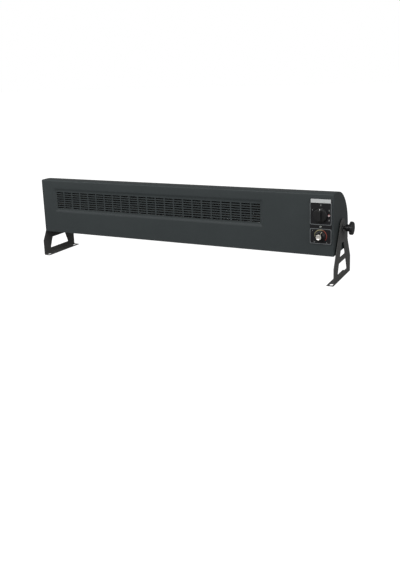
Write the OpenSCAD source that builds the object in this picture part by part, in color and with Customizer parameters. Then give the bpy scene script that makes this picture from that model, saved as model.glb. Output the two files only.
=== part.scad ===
// Long sheet-metal fan heater that stands on two clamped floor brackets.
// The origin is on the floor, half way along the casing and below the tilt axis.
// +X runs along the casing to the control end, -Y is the front and +Z is up.

/* [Casing] */
// Length of the casing over both end caps
body_l = 1000; // [900:10:1400]
// Depth of the casing from front to rear
body_d = 141; // [136:1:170]
// Height of the casing
body_h = 175.5; // [170:0.5:200]
// Height of the casing's underside above the floor
body_z = 82; // [60:1:120]
// Thickness of the casing sheet
sheet = 1.2; // [0.8:0.1:1.6]
// Outside radius of the big bend between the top and the rear
shoulder_r = 110; // [85:1:115]
// Outside radius of the bend along the front top edge
edge_r = 5; // [3:0.5:8]
// Overlap of the front panel under the rear cover at both seams
lap_w = 10; // [7:1:14]
// Gap between neighbouring edges of the casing's parts
seam_gap = 0.2; // [0.1:0.1:0.4]

/* [End caps] */
// Thickness of an end cap and of its rim
cap_t = 1.5; // [1:0.1:2.5]
// Length of the rim that reaches into the casing
rim_l = 8; // [6:1:10]

/* [Air grille] */
// Distance from the casing's left end to the pressed grille field
field_inset = 48; // [40:0.5:60]
// Length kept at the right end for the motor and the controls
works_l = 203; // [195:1:260]
// Distance from the casing's top to the pressed grille field
field_drop = 27; // [20:0.5:30]
// Depth to which the grille field is pressed in
press_d = 3; // [2:0.5:6]
// Width of the slope round the pressed field
draft_w = 7; // [4:0.5:9]
// Pitch of the slots along the casing
slot_pitch_x = 31.8; // [28:0.2:36]
// Pitch of the rows of slots
slot_pitch_z = 7.1; // [6.6:0.1:7.6]
// Number of rows of slots
slot_rows = 8; // [7:1:8]
// Length of a slot
slot_l = 27.8; // [22:0.2:28]
// Height of a slot
slot_h = 3.6; // [2.5:0.1:4.5]
// Flat border between the slots and the slope at both ends
end_rim = 1.5; // [1:0.1:4]
// Flat border between the slots and the slope above and below
long_rim = 5.8; // [3:0.1:8]
// Number of rows of intake slots in the rear wall
intake_rows = 6; // [3:1:6]
// Height of an intake slot
intake_h = 4.6; // [3:0.1:5.5]
// Height of the lowest intake row above the casing's underside
intake_z = 12; // [9:0.5:14]

/* [Floor brackets] */
// Thickness of a bracket
bracket_t = 2.2; // [2:0.1:4]
// Length of a foot from front to rear
foot_l = 164; // [162:1:200]
// Width of a foot across the bend
foot_w = 22; // [20:0.5:30]
// Height of the upright edge at each end of a foot
foot_edge_h = 50; // [40:1:56]
// Height of the tilt axis above the casing's underside
pivot_up = 68; // [60:0.5:75]
// Radius of a bracket's rounded head
head_r = 26; // [20:0.5:32]
// Inside radius of the bend at a foot
bend_r = 2; // [1:0.5:4]
// Distance between the two fixing slots of a foot
foot_slot_pitch = 138; // [110:1:142]
// Width of a fixing slot
foot_slot_w = 11; // [5:0.5:12]
// End-to-end length of a fixing slot, along the foot
foot_slot_l = 18; // [14:0.5:20]
// Height of the strip below a bracket's lower window
sill_h = 18.5; // [14:0.5:22]
// Height of a bracket's lower window
low_window_h = 35; // [24:0.5:36]
// Half width of the lower window at its bottom
low_window_w0 = 48.5; // [36:0.5:50]
// Half width of the lower window at its top
low_window_w1 = 34.5; // [26:0.5:36]
// Height of the bar between the windows
window_bar_h = 16; // [12:0.5:20]
// Height of a bracket's upper window
up_window_h = 38; // [24:0.5:40]
// Half width of the upper window at its bottom
up_window_w0 = 26; // [18:0.5:28]
// Half width of the upper window at its top
up_window_w1 = 9.5; // [7:0.5:11]
// Radius of the corners of the windows
window_r = 2; // [1:0.5:4]

/* [Clamps] */
// Radius of a clamp stud
stud_r = 3; // [2.5:0.5:4]
// Thickness of the friction disc between casing and bracket
friction_t = 2.6; // [0.5:0.1:4]
// Radius of the friction disc
friction_r = 13; // [10:0.5:18]
// Thickness of the clamp washer
washer_t = 1.5; // [1:0.1:2.5]
// Radius of the clamp washer
washer_r = 10; // [8:0.5:14]
// Radius of a clamp knob's neck
neck_r = 4.4; // [4.2:0.1:6]
// Length of a clamp knob's neck
neck_l = 4.5; // [3:0.1:10]
// Radius of a clamp knob's collar
collar_r = 9.9; // [8:0.1:12]
// Length of a clamp knob's collar
collar_l = 14; // [10:0.1:24]
// Length of the cone that widens the neck to the collar
cone_l = 2.5; // [1:0.5:5]
// Radius of a clamp knob's head
knob_r = 19; // [15:0.5:24]
// Thickness of a clamp knob's head
knob_t = 9.2; // [7:0.1:12]
// Radius along the front edge of a clamp knob's head
knob_round = 2.5; // [1:0.1:3.5]
// Number of finger hollows round a clamp knob
knob_lobes = 8; // [5:1:9]
// Radius of a finger hollow
lobe_r = 5; // [4:0.5:6]
// Length of the thread inside a clamp nut
nut_l = 12; // [8:0.5:13]

/* [Blower] */
// Radius of the blower wheel
wheel_r = 40; // [36:0.5:41]
// Distance from the rear wall to the wheel's axis
wheel_back = 60.5; // [58:0.5:66]
// Height of the wheel's axis above the casing's underside
wheel_up = 66; // [62:0.5:70]
// Number of blades
blade_count = 28; // [20:1:32]
// Radial width of the ring of blades
blade_w = 8.6; // [7:0.2:9]
// Radius to which a blade is curved
blade_curve_r = 9; // [8.5:0.5:14]
// Thickness of a blade
blade_t = 0.8; // [0.6:0.1:1.2]
// Number of bays between the wheel's discs
wheel_bays = 6; // [3:1:7]
// Thickness of a wheel disc
disc_t = 1; // [0.8:0.1:1.6]
// Radius of the hub at each end of the wheel
hub_r = 11; // [9:0.5:14]
// Length of a hub
hub_l = 14; // [10:0.5:18]
// Radius of the motor shaft and of the stub shaft
shaft_r = 4; // [3:0.5:5]
// Least gap between the wheel and the sheets round it
wheel_gap = 4; // [3:0.5:5]
// Thickness of the air guides and of the bulkheads
guide_t = 1; // [0.8:0.1:1.4]
// Distance from the grille field to each bulkhead
bulkhead_gap = 6; // [4:0.5:9]
// Distance from each bulkhead to the wheel
wheel_end_gap = 14; // [11:0.5:20]

/* [Heating elements] */
// Radius of an element's tube
tube_r = 4.25; // [3:0.25:5]
// Radius of the fins
fin_r = 11; // [8:0.5:12]
// Thickness of a fin
fin_t = 0.8; // [0.6:0.1:1.2]
// Pitch of the fins
fin_pitch = 10; // [8:0.5:16]
// Distance of the elements behind the casing's front
element_back = 20.5; // [19:0.5:22]
// Length of tube beyond each bulkhead
tube_out = 8; // [6:0.5:12]
// Length of a terminal pin
pin_l = 12; // [8:0.5:16]

/* [Motor] */
// Radius of the motor
motor_r = 46; // [40:0.5:50]
// Length of the stator
stator_l = 35; // [25:1:40]
// Depth of each end shield
shield_l = 18; // [16:0.5:20]
// Wall of an end shield
shield_t = 3; // [2:0.5:4]
// Radius of the rotor
rotor_r = 26; // [22:0.5:28]
// Length of the spacers between the bulkhead and the motor
spacer_l = 12; // [8:0.5:16]

/* [Controls] */
// Distance from the casing's right end to the control plate
control_inset = 6; // [6:0.5:16]
// Width of the control plate
control_w = 61.5; // [58:0.5:70]
// Distance from the casing's top to the control plate
control_drop = 15.5; // [12:0.5:20]
// Height of the upper framed plate
upper_h = 72.5; // [68:0.5:78]
// Height of the lower framed plate
lower_h = 43.5; // [42:0.5:48]
// Height of the strip between the framed plates
between_h = 10; // [9:0.5:14]
// Thickness of the control plate
control_t = 1.5; // [1:0.1:2.5]
// Width of the raised frames
frame_w = 2.3; // [1.5:0.1:3]
// Thickness of the raised frames
frame_t = 1.6; // [1.2:0.1:2.4]
// Thickness of the black plates inside the frames
face_t = 1; // [0.6:0.1:1.4]
// Corner radius of the framed plates
frame_r = 4; // [3:0.5:6]
// Height of the pale strip
strip_h = 11; // [9:0.5:14]
// Distance from the upper frame's outer edge to the pale strip
strip_inset = 2; // [1:0.1:3]
// Distance from the upper plate's top to the selector's axis
selector_drop = 44.5; // [42:0.5:48]
// Radius of the selector knob
selector_r = 19; // [15:0.5:19.5]
// Thickness of the selector knob's disc
selector_t = 8; // [6:0.5:10]
// Height of the selector knob's grip above its disc
grip_h = 8; // [5:0.5:10]
// Width of the selector knob's grip
grip_w = 11; // [8:0.5:13]
// Distance from the lower plate's top to the thermostat's axis
dial_drop = 20.5; // [20:0.5:23]
// Radius of the thermostat knob's skirt
skirt_r = 14.5; // [12:0.5:15]
// Radius of the thermostat knob's stem
stem_r = 8.2; // [7:0.2:9]
// Height of the thermostat knob
stem_h = 18; // [14:0.5:20]
// Radius of the spindles behind the knobs
spindle_r = 3; // [2:0.5:4]
// Radius of the pilot lamp's lens
lamp_r = 3.2; // [2:0.1:3.4]
// Distance from the selector's axis to the pilot lamp
lamp_out = 23.5; // [23:0.5:25]

/* [Cable inlet] */
// Radius of the hole for the supply cable
inlet_r = 4.5; // [3:0.5:6]
// Distance from the casing's right end to the inlet
inlet_inset = 45; // [40:1:60]
// Height of the inlet above the casing's underside
inlet_up = 24; // [20:0.5:30]

/* [Hidden] */
$fn = 64;

// Clearance between parts that move past each other
run = 0.3;
// Radial clearance of a shaft in its bearing
bearing_fit = 0.05;
// Radial clearance of a shaft that is fixed in its seat
seat_fit = 0.02;
// Amount by which a cut passes the face that it opens
over = 1;

half_l = body_l / 2;
front_y = -body_d / 2;
rear_y = body_d / 2;
top_z = body_z + body_h;
pivot_z = body_z + pivot_up;

cap_in = half_l - cap_t;
seam_y = rear_y - shoulder_r;
lap_x = cap_in - rim_l - over;
least_bend = 0.4;
seam_screws_half = 2;
seam_end = 7.5;
screw_r = 1.7;
screw_head_r = 3.4;
screw_head_h = 2.2;
screw_tip = 3;
cap_screw_y0 = 22;
cap_screw_y1 = 20;
cap_screw_z0 = 20;
cap_screw_z1 = 56;
nut_wall = 3.5;
nut_flange_w = 10;
nut_flange_t = 2.5;
gland_wall = 3;
gland_out = 9;
gland_in = 8;
gland_flange_w = 6.5;
gland_flange_t = 3;
gland_nut_t = 4;

slot_room = body_l - field_inset - works_l - 2 * (draft_w + end_rim) + slot_pitch_x - slot_l;
slot_cols = floor(slot_room / slot_pitch_x);
field_x0 = field_inset - half_l;
field_x1 = field_x0 + slot_cols * slot_pitch_x + 2 * (draft_w + end_rim) - (slot_pitch_x - slot_l);
field_z1 = top_z - field_drop;
field_z0 = field_z1 - slot_rows * slot_pitch_z - 2 * (draft_w + long_rim) + (slot_pitch_z - slot_h);
slot_x0 = field_x0 + draft_w + end_rim;
slot_z0 = field_z0 + draft_w + long_rim;
field_back = front_y + press_d + sheet;

bulkhead_left = field_x0 - bulkhead_gap;
bulkhead_right = field_x1 + bulkhead_gap;
wheel_y = rear_y - wheel_back;
wheel_z = body_z + wheel_up;
wheel_x0 = bulkhead_left + wheel_end_gap;
wheel_x1 = bulkhead_right - wheel_end_gap;
duct_z0 = field_z0 + draft_w - guide_t / 2;
duct_z1 = field_z1 - draft_w + guide_t / 2;
hub_gap = 2;
blade_inset = 0.6;
ring_w = blade_w + 2.6;
scroll_start = -15;
scroll_drop = 5;
scroll_gap = 2;
tongue_r = 6;
tongue_l = 12;
foot_lead = 12;
element_y = front_y + element_back;
element_step = (duct_z1 - duct_z0) / 4;
pin_r = 2;
insulator_w = 3;
insulator_r = tube_r + insulator_w;
insulator_l = 8;
collar_w = 2.5;
collar_t = 3;
cutout_inset = 70;
cutout_r = 8;
cutout_base_t = 3;
cutout_body_w = 1.5;
cutout_body_h = 5;
tab_t = 0.8;
tab_w = 6;
tab_l = 8;

bearing_w = 4;
bearing_out = 0.5;
rubber_w = 5.1;
cup_r = shaft_r + bearing_w + rubber_w;
cup_l = 12;
cup_t = 1.5;
cup_lip = 4;
cup_flange_w = 10;

motor_x0 = bulkhead_right + guide_t + spacer_l;
stator_x0 = motor_x0 + shield_l;
motor_x1 = stator_x0 + stator_l + shield_l;
air_gap = 0.4;
boss_w = 6;
vent_w = 10;
vent_rim = 6;
winding_l = 9;
winding_gap = 1.5;
bolt_r = 2;
bolt_at = motor_r - shield_t - bolt_r - over;
bolt_head_w = 2;
bolt_head_t = 2.5;
bolt_tip = 6;
spacer_r = 4;
cage_w = 8;
cage_out = 3;

bracket_in = half_l + friction_t + run;
bracket_out = bracket_in + bracket_t;
foot_in = bracket_out - foot_w;
foot_half = foot_l / 2;
bend_top = bracket_t + bend_r;
slot_mid_x = bracket_out - foot_w / 2;
low_window_z = sill_h + low_window_h;
up_window_z = low_window_z + window_bar_h;

washer_in = bracket_out + run;
neck_in = washer_in + washer_t + run;
stud_tip = 4.5;
stud_seat = 12;
stud_hole_gap = 1;
stud_in = cap_in - nut_l - stud_tip;
stud_out = neck_in + stud_seat;
lobe_bite = 0.62;
knob_bevel = 0.8;

control_x1 = half_l - control_inset;
control_x0 = control_x1 - control_w;
control_mid = (control_x0 + control_x1) / 2;
control_z1 = top_z - control_drop;
upper_z0 = control_z1 - upper_h;
lower_z1 = upper_z0 - between_h;
lower_z0 = lower_z1 - lower_h;
plate_y = front_y - control_t;
face_y = plate_y - face_t;
selector_z = control_z1 - selector_drop;
dial_z = lower_z1 - dial_drop;
knob_gap = 1;
knob_edge = 1.5;
grip_inset = 3;
skirt_h = 3;
cap_edge = 0.6;
knob_y = face_y - knob_gap;
knob_floor = 3;
spindle_in = 12;
switch_w = 36;
switch_d = 26;
thermostat_less = 4;
window_inset = 3.5;
strip_t = 1.3;
strip_r = 1;
strip_z0 = control_z1 - strip_h;
lamp_lip = 0.6;
lens_h = 2.4;
lens_r = 5;
lamp_l = 16;
dial_setting = 24;
sensor_r = 3;
sensor_y = wheel_y + 20;
sensor_z = body_z + 14;
sensor_l = 60;
sensor_inset = 110;
capillary_r = 1;
capillary_bend = 8;
inlet_x = half_l - inlet_inset;
inlet_z = body_z + inlet_up;
block_back = 34;
block_d = 22;
block_h = 18;
block_floor = 6;
pole_w = 10;

// Points of the arc of radius r that rounds corner b of the path a, b, c
function corner_arc(a, b, c, r, n) =
    let (u = (a - b) / norm(a - b),
         v = (c - b) / norm(c - b),
         half = acos(u * v) / 2,
         o = b + (u + v) / norm(u + v) * r / sin(half),
         p = b + u * r / tan(half) - o,
         q = b + v * r / tan(half) - o,
         start = atan2(p[1], p[0]),
         turn = (u[0] * v[1] < u[1] * v[0] ? 1 : -1) * (180 - 2 * half))
    [for (i = [0 : n]) o + r * [cos(start + turn * i / n), sin(start + turn * i / n)]];

// Outline p with every corner rounded to radius r
function soften(p, r, n = 5) =
    [for (i = [0 : len(p) - 1])
        each corner_arc(p[(i + len(p) - 1) % len(p)], p[i], p[(i + 1) % len(p)], r, n)];

// Corners of a rectangle
function box_points(x0, y0, x1, y1) = [[x0, y0], [x1, y0], [x1, y1], [x0, y1]];

// Normal of the stretch from a to b
function side_normal(a, b) = let (d = (b - a) / norm(b - a)) [-d[1], d[0]];

// Direction in which point i of path p moves when the path is offset by 1
function mitre(p, i) =
    i == 0 ? side_normal(p[0], p[1]) :
    i == len(p) - 1 ? side_normal(p[i - 1], p[i]) :
    let (m = side_normal(p[i - 1], p[i]), n = side_normal(p[i], p[i + 1])) (m + n) / (1 + m * n);

// Outline of a sheet of thickness t whose middle follows path p
function ribbon(p, t) = concat(
    [for (i = [0 : len(p) - 1]) p[i] + mitre(p, i) * t / 2],
    [for (i = [len(p) - 1 : -1 : 0]) p[i] - mitre(p, i) * t / 2]);

// Extrudes an outline drawn in Y and Z from x0 to x1
module along_x(x0, x1) {
    translate([x0, 0, 0])
        rotate([90, 0, 90])
            linear_extrude(x1 - x0)
                children();
}

// Extrudes an outline drawn in X and Z from y0 to y1
module along_y(y0, y1) {
    translate([0, y1, 0])
        rotate([90, 0, 0])
            linear_extrude(y1 - y0)
                children();
}

// Turns what is drawn along +Z to lie along +X from the point x, y, z
module point_x(x, y, z) {
    translate([x, y, z])
        rotate([0, 90, 0])
            children();
}

// Turns what is drawn along +Z to lie towards the front from the point x, y, z
module point_front(x, y, z) {
    translate([x, y, z])
        rotate([90, 0, 0])
            children();
}

// A ring or tube between two radii
module tube(r_out, r_in, h) {
    difference() {
        cylinder(h = h, r = r_out);
        translate([0, 0, -over])
            cylinder(h = h + 2 * over, r = r_in);
    }
}

// Cross-section of the casing, with its outline moved in by e
module section(e) {
    y0 = front_y + e;
    y1 = rear_y - e;
    z1 = top_z - e;
    r = shoulder_r - e;
    s = max(edge_r - e, least_bend);
    difference() {
        translate([y0, body_z + e])
            square([y1 - y0, body_h - 2 * e]);
        difference() {
            translate([y1 - r, z1 - r])
                square(r + over);
            translate([y1 - r, z1 - r])
                circle(r, $fn = 128);
        }
        difference() {
            translate([y0 - over, z1 - s])
                square(s + over);
            translate([y0 + s, z1 - s])
                circle(s);
        }
    }
}

// Sheet that follows the casing's outline between the insets a and b
module skin(a, b) {
    difference() {
        section(a);
        section(b);
    }
}

// Strip of the cross-section's plane from y0 to y1
module slab_yz(y0, y1) {
    translate([y0, body_z - over])
        square([y1 - y0, body_h + 2 * over]);
}

// A pan-head screw whose head's underside is at the origin
module screw(length) {
    translate([0, 0, -screw_head_h])
        cylinder(h = screw_head_h, r = screw_head_r);
    cylinder(h = length, r = screw_r);
}

// Tapered block of the pressed grille field, grown by g, between y0 and y1
module field_block(g, y0, y1) {
    in0 = draft_w * (y0 - front_y) / press_d - g;
    in1 = draft_w * (y1 - front_y) / press_d - g;
    intersection() {
        along_x(field_x0 - 2 * draft_w, field_x1 + 2 * draft_w)
            polygon([[y0, field_z0 + in0], [y1, field_z0 + in1],
                [y1, field_z1 - in1], [y0, field_z1 - in0]]);
        translate([0, 0, field_z0 - 2 * draft_w])
            linear_extrude(field_z1 - field_z0 + 4 * draft_w)
                polygon([[field_x0 + in0, y0], [field_x0 + in1, y1],
                    [field_x1 - in1, y1], [field_x1 - in0, y0]]);
    }
}

// The x places of the screws along the bottom seam
function seam_screw_x() =
    [for (i = [-seam_screws_half : seam_screws_half])
        i * (lap_x / seam_screws_half - seam_end)];

// Casing front with its top and bottom returns and the pressed grille
module front_panel() {
    color("#3b4041")
    difference() {
        union() {
            difference() {
                along_x(-cap_in, cap_in)
                    intersection() {
                        skin(0, sheet);
                        slab_yz(front_y - over, seam_y);
                    }
                field_block(0, front_y - over, front_y + press_d);
            }
            along_x(-lap_x, lap_x)
                intersection() {
                    skin(sheet, 2 * sheet);
                    slab_yz(seam_y - lap_w, seam_y + lap_w);
                }
            difference() {
                field_block(1.5 * sheet, front_y, field_back);
                field_block(0, front_y - over, front_y + press_d);
            }
        }
        for (c = [0 : slot_cols - 1], r = [0 : slot_rows - 1])
            translate([slot_x0 + c * slot_pitch_x, front_y, slot_z0 + r * slot_pitch_z])
                cube([slot_l, press_d + 2 * sheet, slot_h]);
        translate([control_x0 + window_inset, front_y - over, lower_z0 + window_inset])
            cube([control_w - 2 * window_inset, sheet + 2 * over,
                control_z1 - lower_z0 - 2 * window_inset]);
        for (x = seam_screw_x())
            translate([x, seam_y + lap_w / 2, body_z])
                cylinder(h = 3 * sheet, r = screw_r + bearing_fit);
    }
}

// Curved cover of the top and rear, with the air intake and the underside
module rear_cover() {
    color("#393e40")
    difference() {
        along_x(-cap_in, cap_in)
            intersection() {
                skin(0, sheet);
                slab_yz(seam_y + seam_gap, rear_y + over);
            }
        for (c = [0 : slot_cols - 1], r = [0 : intake_rows - 1])
            translate([slot_x0 + c * slot_pitch_x, rear_y - 2 * sheet,
                body_z + intake_z + r * 2 * slot_h])
                cube([slot_l, 3 * sheet, intake_h]);
        for (x = seam_screw_x())
            translate([x, seam_y + lap_w / 2, body_z - over])
                cylinder(h = 3 * sheet, r = screw_r + bearing_fit);
        for (side = [-1, 1])
            cap_screw_places(side)
                translate([0, 0, -over])
                    cylinder(h = 3 * sheet, r = screw_r + bearing_fit);
        translate([inlet_x, rear_y + over, inlet_z])
            rotate([90, 0, 0])
                cylinder(h = sheet + 2 * over, r = inlet_r + gland_wall + bearing_fit);
    }
}

// Places of the screws that hold one end cap: two below and two behind
module cap_screw_places(side) {
    x = side * (cap_in - rim_l / 2);
    for (y = [seam_y + cap_screw_y0, rear_y - cap_screw_y1])
        translate([x, y, body_z])
            children();
    for (z = [body_z + cap_screw_z0, body_z + cap_screw_z1])
        translate([x, rear_y, z])
            rotate([90, 0, 0])
                children();
}

// Flat end plate with a rim inside the casing, drawn for the right end
module end_cap() {
    color("#383b3d")
    difference() {
        union() {
            along_x(cap_in, half_l)
                section(0);
            along_x(cap_in - rim_l, cap_in)
                skin(sheet + seam_gap, sheet + seam_gap + cap_t);
        }
        point_x(cap_in - over, 0, pivot_z)
            cylinder(h = cap_t + 2 * over, r = stud_r + stud_hole_gap);
        cap_screw_places(1)
            cylinder(h = sheet + cap_t + 2 * over, r = screw_r + bearing_fit);
    }
}

// Welded nut with a broad flange behind an end cap
module clamp_nut() {
    color("silver")
    point_x(cap_in - nut_l, 0, pivot_z)
        difference() {
            union() {
                cylinder(h = nut_l, r = stud_r + nut_wall, $fn = 6);
                translate([0, 0, nut_l - nut_flange_t])
                    cylinder(h = nut_flange_t, r = stud_r + nut_flange_w);
            }
            translate([0, 0, -over])
                cylinder(h = nut_l + 2 * over, r = stud_r + bearing_fit);
        }
}

// Fibre disc that grips between end cap and bracket
module friction_disc() {
    color("#2a2a2a")
    point_x(half_l, 0, pivot_z)
        tube(friction_r, stud_r + stud_hole_gap, friction_t);
}

// Screws that join the front panel's lap to the rear cover
module seam_screws() {
    color("#4a4d4f")
    for (x = seam_screw_x())
        translate([x, seam_y + lap_w / 2, body_z])
            screw(3 * sheet + screw_tip);
}

// Screws that hold the rims of both end caps
module cap_screws() {
    color("#4a4d4f")
    for (side = [-1, 1])
        cap_screw_places(side)
            screw(sheet + cap_t + screw_tip);
}

// Screwed inlet bushing for the supply cable, seated in the rear wall
module cable_gland() {
    color("#1c1c1e")
    point_front(inlet_x, rear_y + gland_out, inlet_z)
        difference() {
            union() {
                cylinder(h = gland_out + sheet + gland_in, r = inlet_r + gland_wall);
                translate([0, 0, gland_out - gland_flange_t])
                    cylinder(h = gland_flange_t, r = inlet_r + gland_flange_w);
                translate([0, 0, gland_out + sheet])
                    cylinder(h = gland_nut_t, r = inlet_r + gland_flange_w, $fn = 6);
            }
            translate([0, 0, -over])
                cylinder(h = gland_out + sheet + gland_in + 2 * over, r = inlet_r);
        }
}

// Wall across the casing, with the holes and the notch over the seam that both bulkheads share
module bulkhead(x) {
    difference() {
        along_x(x, x + guide_t)
            section(2 * sheet + run);
        for (z = element_heights())
            point_x(x - over, element_y, z)
                cylinder(h = guide_t + 2 * over, r = insulator_r + bearing_fit);
        point_x(x - over, wheel_y, wheel_z)
            cylinder(h = guide_t + 2 * over, r = hub_r + hub_gap);
        along_x(x - over, x + guide_t + over)
            translate([seam_y - over, body_z])
                square([lap_w + 2 * over, 3 * sheet + screw_tip + over]);
        children();
    }
}

// The heights of the two heating elements
function element_heights() = [duct_z0 + element_step, duct_z1 - element_step];

module left_bulkhead() {
    color("#b9bcbd")
    bulkhead(bulkhead_left - guide_t);
}

module right_bulkhead() {
    color("#b9bcbd")
    bulkhead(bulkhead_right)
        point_x(bulkhead_right - over, sensor_y, sensor_z)
            cylinder(h = guide_t + 2 * over, r = sensor_r + 1);
}

// Distance from the wheel's axis to the inner face of the cover's big bend, at the angle a
function cover_reach(a) =
    let (u = [cos(a), sin(a)],
         c = [seam_y - wheel_y, top_z - shoulder_r - wheel_z],
         r = shoulder_r - sheet)
    u * c + sqrt(pow(u * c, 2) - c * c + r * r);

// Path of the scroll: a lip at the rear wall, a growing spiral over the wheel, then the duct's roof
function scroll_path() =
    let (r0 = wheel_r + wheel_gap,
         r1 = duct_z1 - wheel_z,
         steps = 21)
    concat([[rear_y - sheet - run, wheel_z - scroll_drop]],
        [for (i = [0 : steps])
            let (a = scroll_start + (90 - scroll_start) * i / steps,
                 r = min(r0 + (r1 - r0) * i / steps, cover_reach(a) - scroll_gap))
            [wheel_y + r * cos(a), wheel_z + r * sin(a)]],
        [[field_back + run, duct_z1]]);

// Curved sheet that gathers the air behind and over the wheel
module air_scroll() {
    color("#c3c6c7")
    along_x(bulkhead_left + run, bulkhead_right - run)
        polygon(ribbon(scroll_path(), guide_t));
}

// Path of the cut-off: the duct's floor, the round tongue by the wheel and the wall down to the
// underside, whose foot stays in front of the seam's screws
function cutoff_path() =
    let (tip = wheel_y - wheel_r - wheel_gap - guide_t,
         foot = min(tip - foot_lead, seam_y + lap_w / 2 - screw_r - over - guide_t))
    concat([[field_back + run, duct_z0]],
        corner_arc([field_back, duct_z0], [tip, duct_z0], [tip, body_z], tongue_r, 5),
        [[tip, duct_z0 - tongue_l], [foot, body_z + 2 * sheet + run]]);

// Sheet that closes the gap below the duct, with the tongue beside the wheel
module air_cutoff() {
    color("#c3c6c7")
    along_x(bulkhead_left + run, bulkhead_right - run)
        polygon(ribbon(cutoff_path(), guide_t));
}

// Finned tubular heating element at height z
module element(z) {
    tube_x0 = bulkhead_left - guide_t - tube_out;
    tube_x1 = bulkhead_right + guide_t + tube_out;
    fins = floor((bulkhead_right - bulkhead_left - 4 * fin_pitch) / fin_pitch);
    fin_x0 = (bulkhead_left + bulkhead_right - (fins - 1) * fin_pitch - fin_t) / 2 - tube_x0;
    point_x(tube_x0, element_y, z) {
        rotate_extrude()
            union() {
                square([tube_r, tube_x1 - tube_x0]);
                for (i = [0 : fins - 1])
                    translate([0, fin_x0 + i * fin_pitch])
                        square([fin_r, fin_t]);
            }
        translate([0, 0, -pin_l])
            cylinder(h = tube_x1 - tube_x0 + 2 * pin_l, r = pin_r);
    }
}

module upper_element() {
    color("#9a9c9b")
    element(element_heights()[1]);
}

module lower_element() {
    color("#9a9c9b")
    element(element_heights()[0]);
}

// Ceramic bushings round the elements where they pass the bulkheads
module element_insulators() {
    color("#e9e4d8")
    for (z = element_heights(), side = [-1, 1])
        translate([side < 0 ? bulkhead_left - guide_t : bulkhead_right + guide_t, element_y, z])
            rotate([0, side * 90, 0])
                translate([0, 0, collar_t - insulator_l])
                    difference() {
                        union() {
                            cylinder(h = insulator_l, r = insulator_r);
                            translate([0, 0, insulator_l - collar_t])
                                cylinder(h = collar_t, r = insulator_r + collar_w);
                        }
                        translate([0, 0, -over])
                            cylinder(h = insulator_l + 2 * over, r = tube_r + bearing_fit);
                    }
}

// Thermal cut-out on the roof of the duct
module thermal_cutout() {
    color("#8c6b3a")
    translate([bulkhead_right - cutout_inset, (field_back + wheel_y) / 2, duct_z1 + guide_t / 2]) {
        cylinder(h = cutout_base_t, r = cutout_r);
        cylinder(h = cutout_base_t + cutout_body_h, r = cutout_r - cutout_body_w);
        for (s = [-1, 1])
            translate([s * cutout_r / 2 - tab_t / 2, -tab_w / 2, cutout_base_t + cutout_body_h])
                cube([tab_t, tab_w, tab_l]);
    }
}

// Pressed cup that carries the far bearing on the left bulkhead
module bearing_cup() {
    color("#aeb1b3")
    point_x(bulkhead_left - guide_t, wheel_y, wheel_z)
        rotate([180, 0, 0])
            rotate_extrude()
                polygon([[cup_r, 0], [cup_r + cup_flange_w, 0], [cup_r + cup_flange_w, cup_t],
                    [cup_r + cup_t, cup_t], [cup_r + cup_t, cup_l], [cup_r - cup_lip, cup_l],
                    [cup_r - cup_lip, cup_l - cup_t], [cup_r, cup_l - cup_t]]);
}

// Rubber ring between the cup and the bearing
module bearing_rubber() {
    color("#222222")
    point_x(bulkhead_left - guide_t - cup_l + cup_t, wheel_y, wheel_z)
        tube(cup_r - bearing_fit, shaft_r + bearing_w + bearing_fit, cup_l - 2 * cup_t);
}

// Sintered bearing for the stub shaft
module end_bearing() {
    color("#b08d57")
    point_x(bulkhead_left - guide_t - cup_l - bearing_out, wheel_y, wheel_z)
        tube(shaft_r + bearing_w, shaft_r + bearing_fit, cup_l + 2 * bearing_out);
}

// Cup-shaped end shield of the motor, open towards +Z
module motor_shield() {
    windows = 6;
    difference() {
        rotate_extrude()
            polygon([[shaft_r + bearing_fit, 0], [motor_r, 0], [motor_r, shield_l],
                [motor_r - shield_t, shield_l], [motor_r - shield_t, shield_t],
                [shaft_r + boss_w, shield_t], [shaft_r + boss_w, shield_l - boss_w],
                [shaft_r + bearing_fit, shield_l - boss_w]]);
        for (i = [0 : windows - 1])
            rotate([0, 0, i * 360 / windows])
                translate([shaft_r + boss_w + vent_rim, -vent_w / 2, -over])
                    cube([bolt_at - bolt_r - shaft_r - boss_w - 2 * vent_rim, vent_w,
                        shield_t + 2 * over]);
        for (a = [45 : 90 : 315])
            rotate([0, 0, a])
                translate([bolt_at, 0, -over])
                    cylinder(h = shield_t + 2 * over, r = bolt_r + bearing_fit);
    }
}

module motor_front_shield() {
    color("#8f9294")
    point_x(motor_x0, wheel_y, wheel_z)
        motor_shield();
}

module motor_rear_shield() {
    color("#8f9294")
    point_x(motor_x1, wheel_y, wheel_z)
        rotate([180, 0, 0])
            motor_shield();
}

// Stack of stator laminations
module motor_stator() {
    color("#6f7375")
    point_x(stator_x0, wheel_y, wheel_z)
        difference() {
            cylinder(h = stator_l, r = motor_r);
            translate([0, 0, -over])
                cylinder(h = stator_l + 2 * over, r = rotor_r + air_gap);
            for (a = [45 : 90 : 315])
                rotate([0, 0, a])
                    translate([bolt_at, 0, -over])
                        cylinder(h = stator_l + 2 * over, r = bolt_r + bearing_fit);
        }
}

// Copper windings that stand out at both ends of the stator
module motor_windings() {
    color("#a5602f")
    for (x = [stator_x0 - winding_l, stator_x0 + stator_l])
        point_x(x, wheel_y, wheel_z)
            tube(bolt_at - bolt_r - winding_gap, rotor_r + air_gap + winding_gap, winding_l);
}

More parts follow.
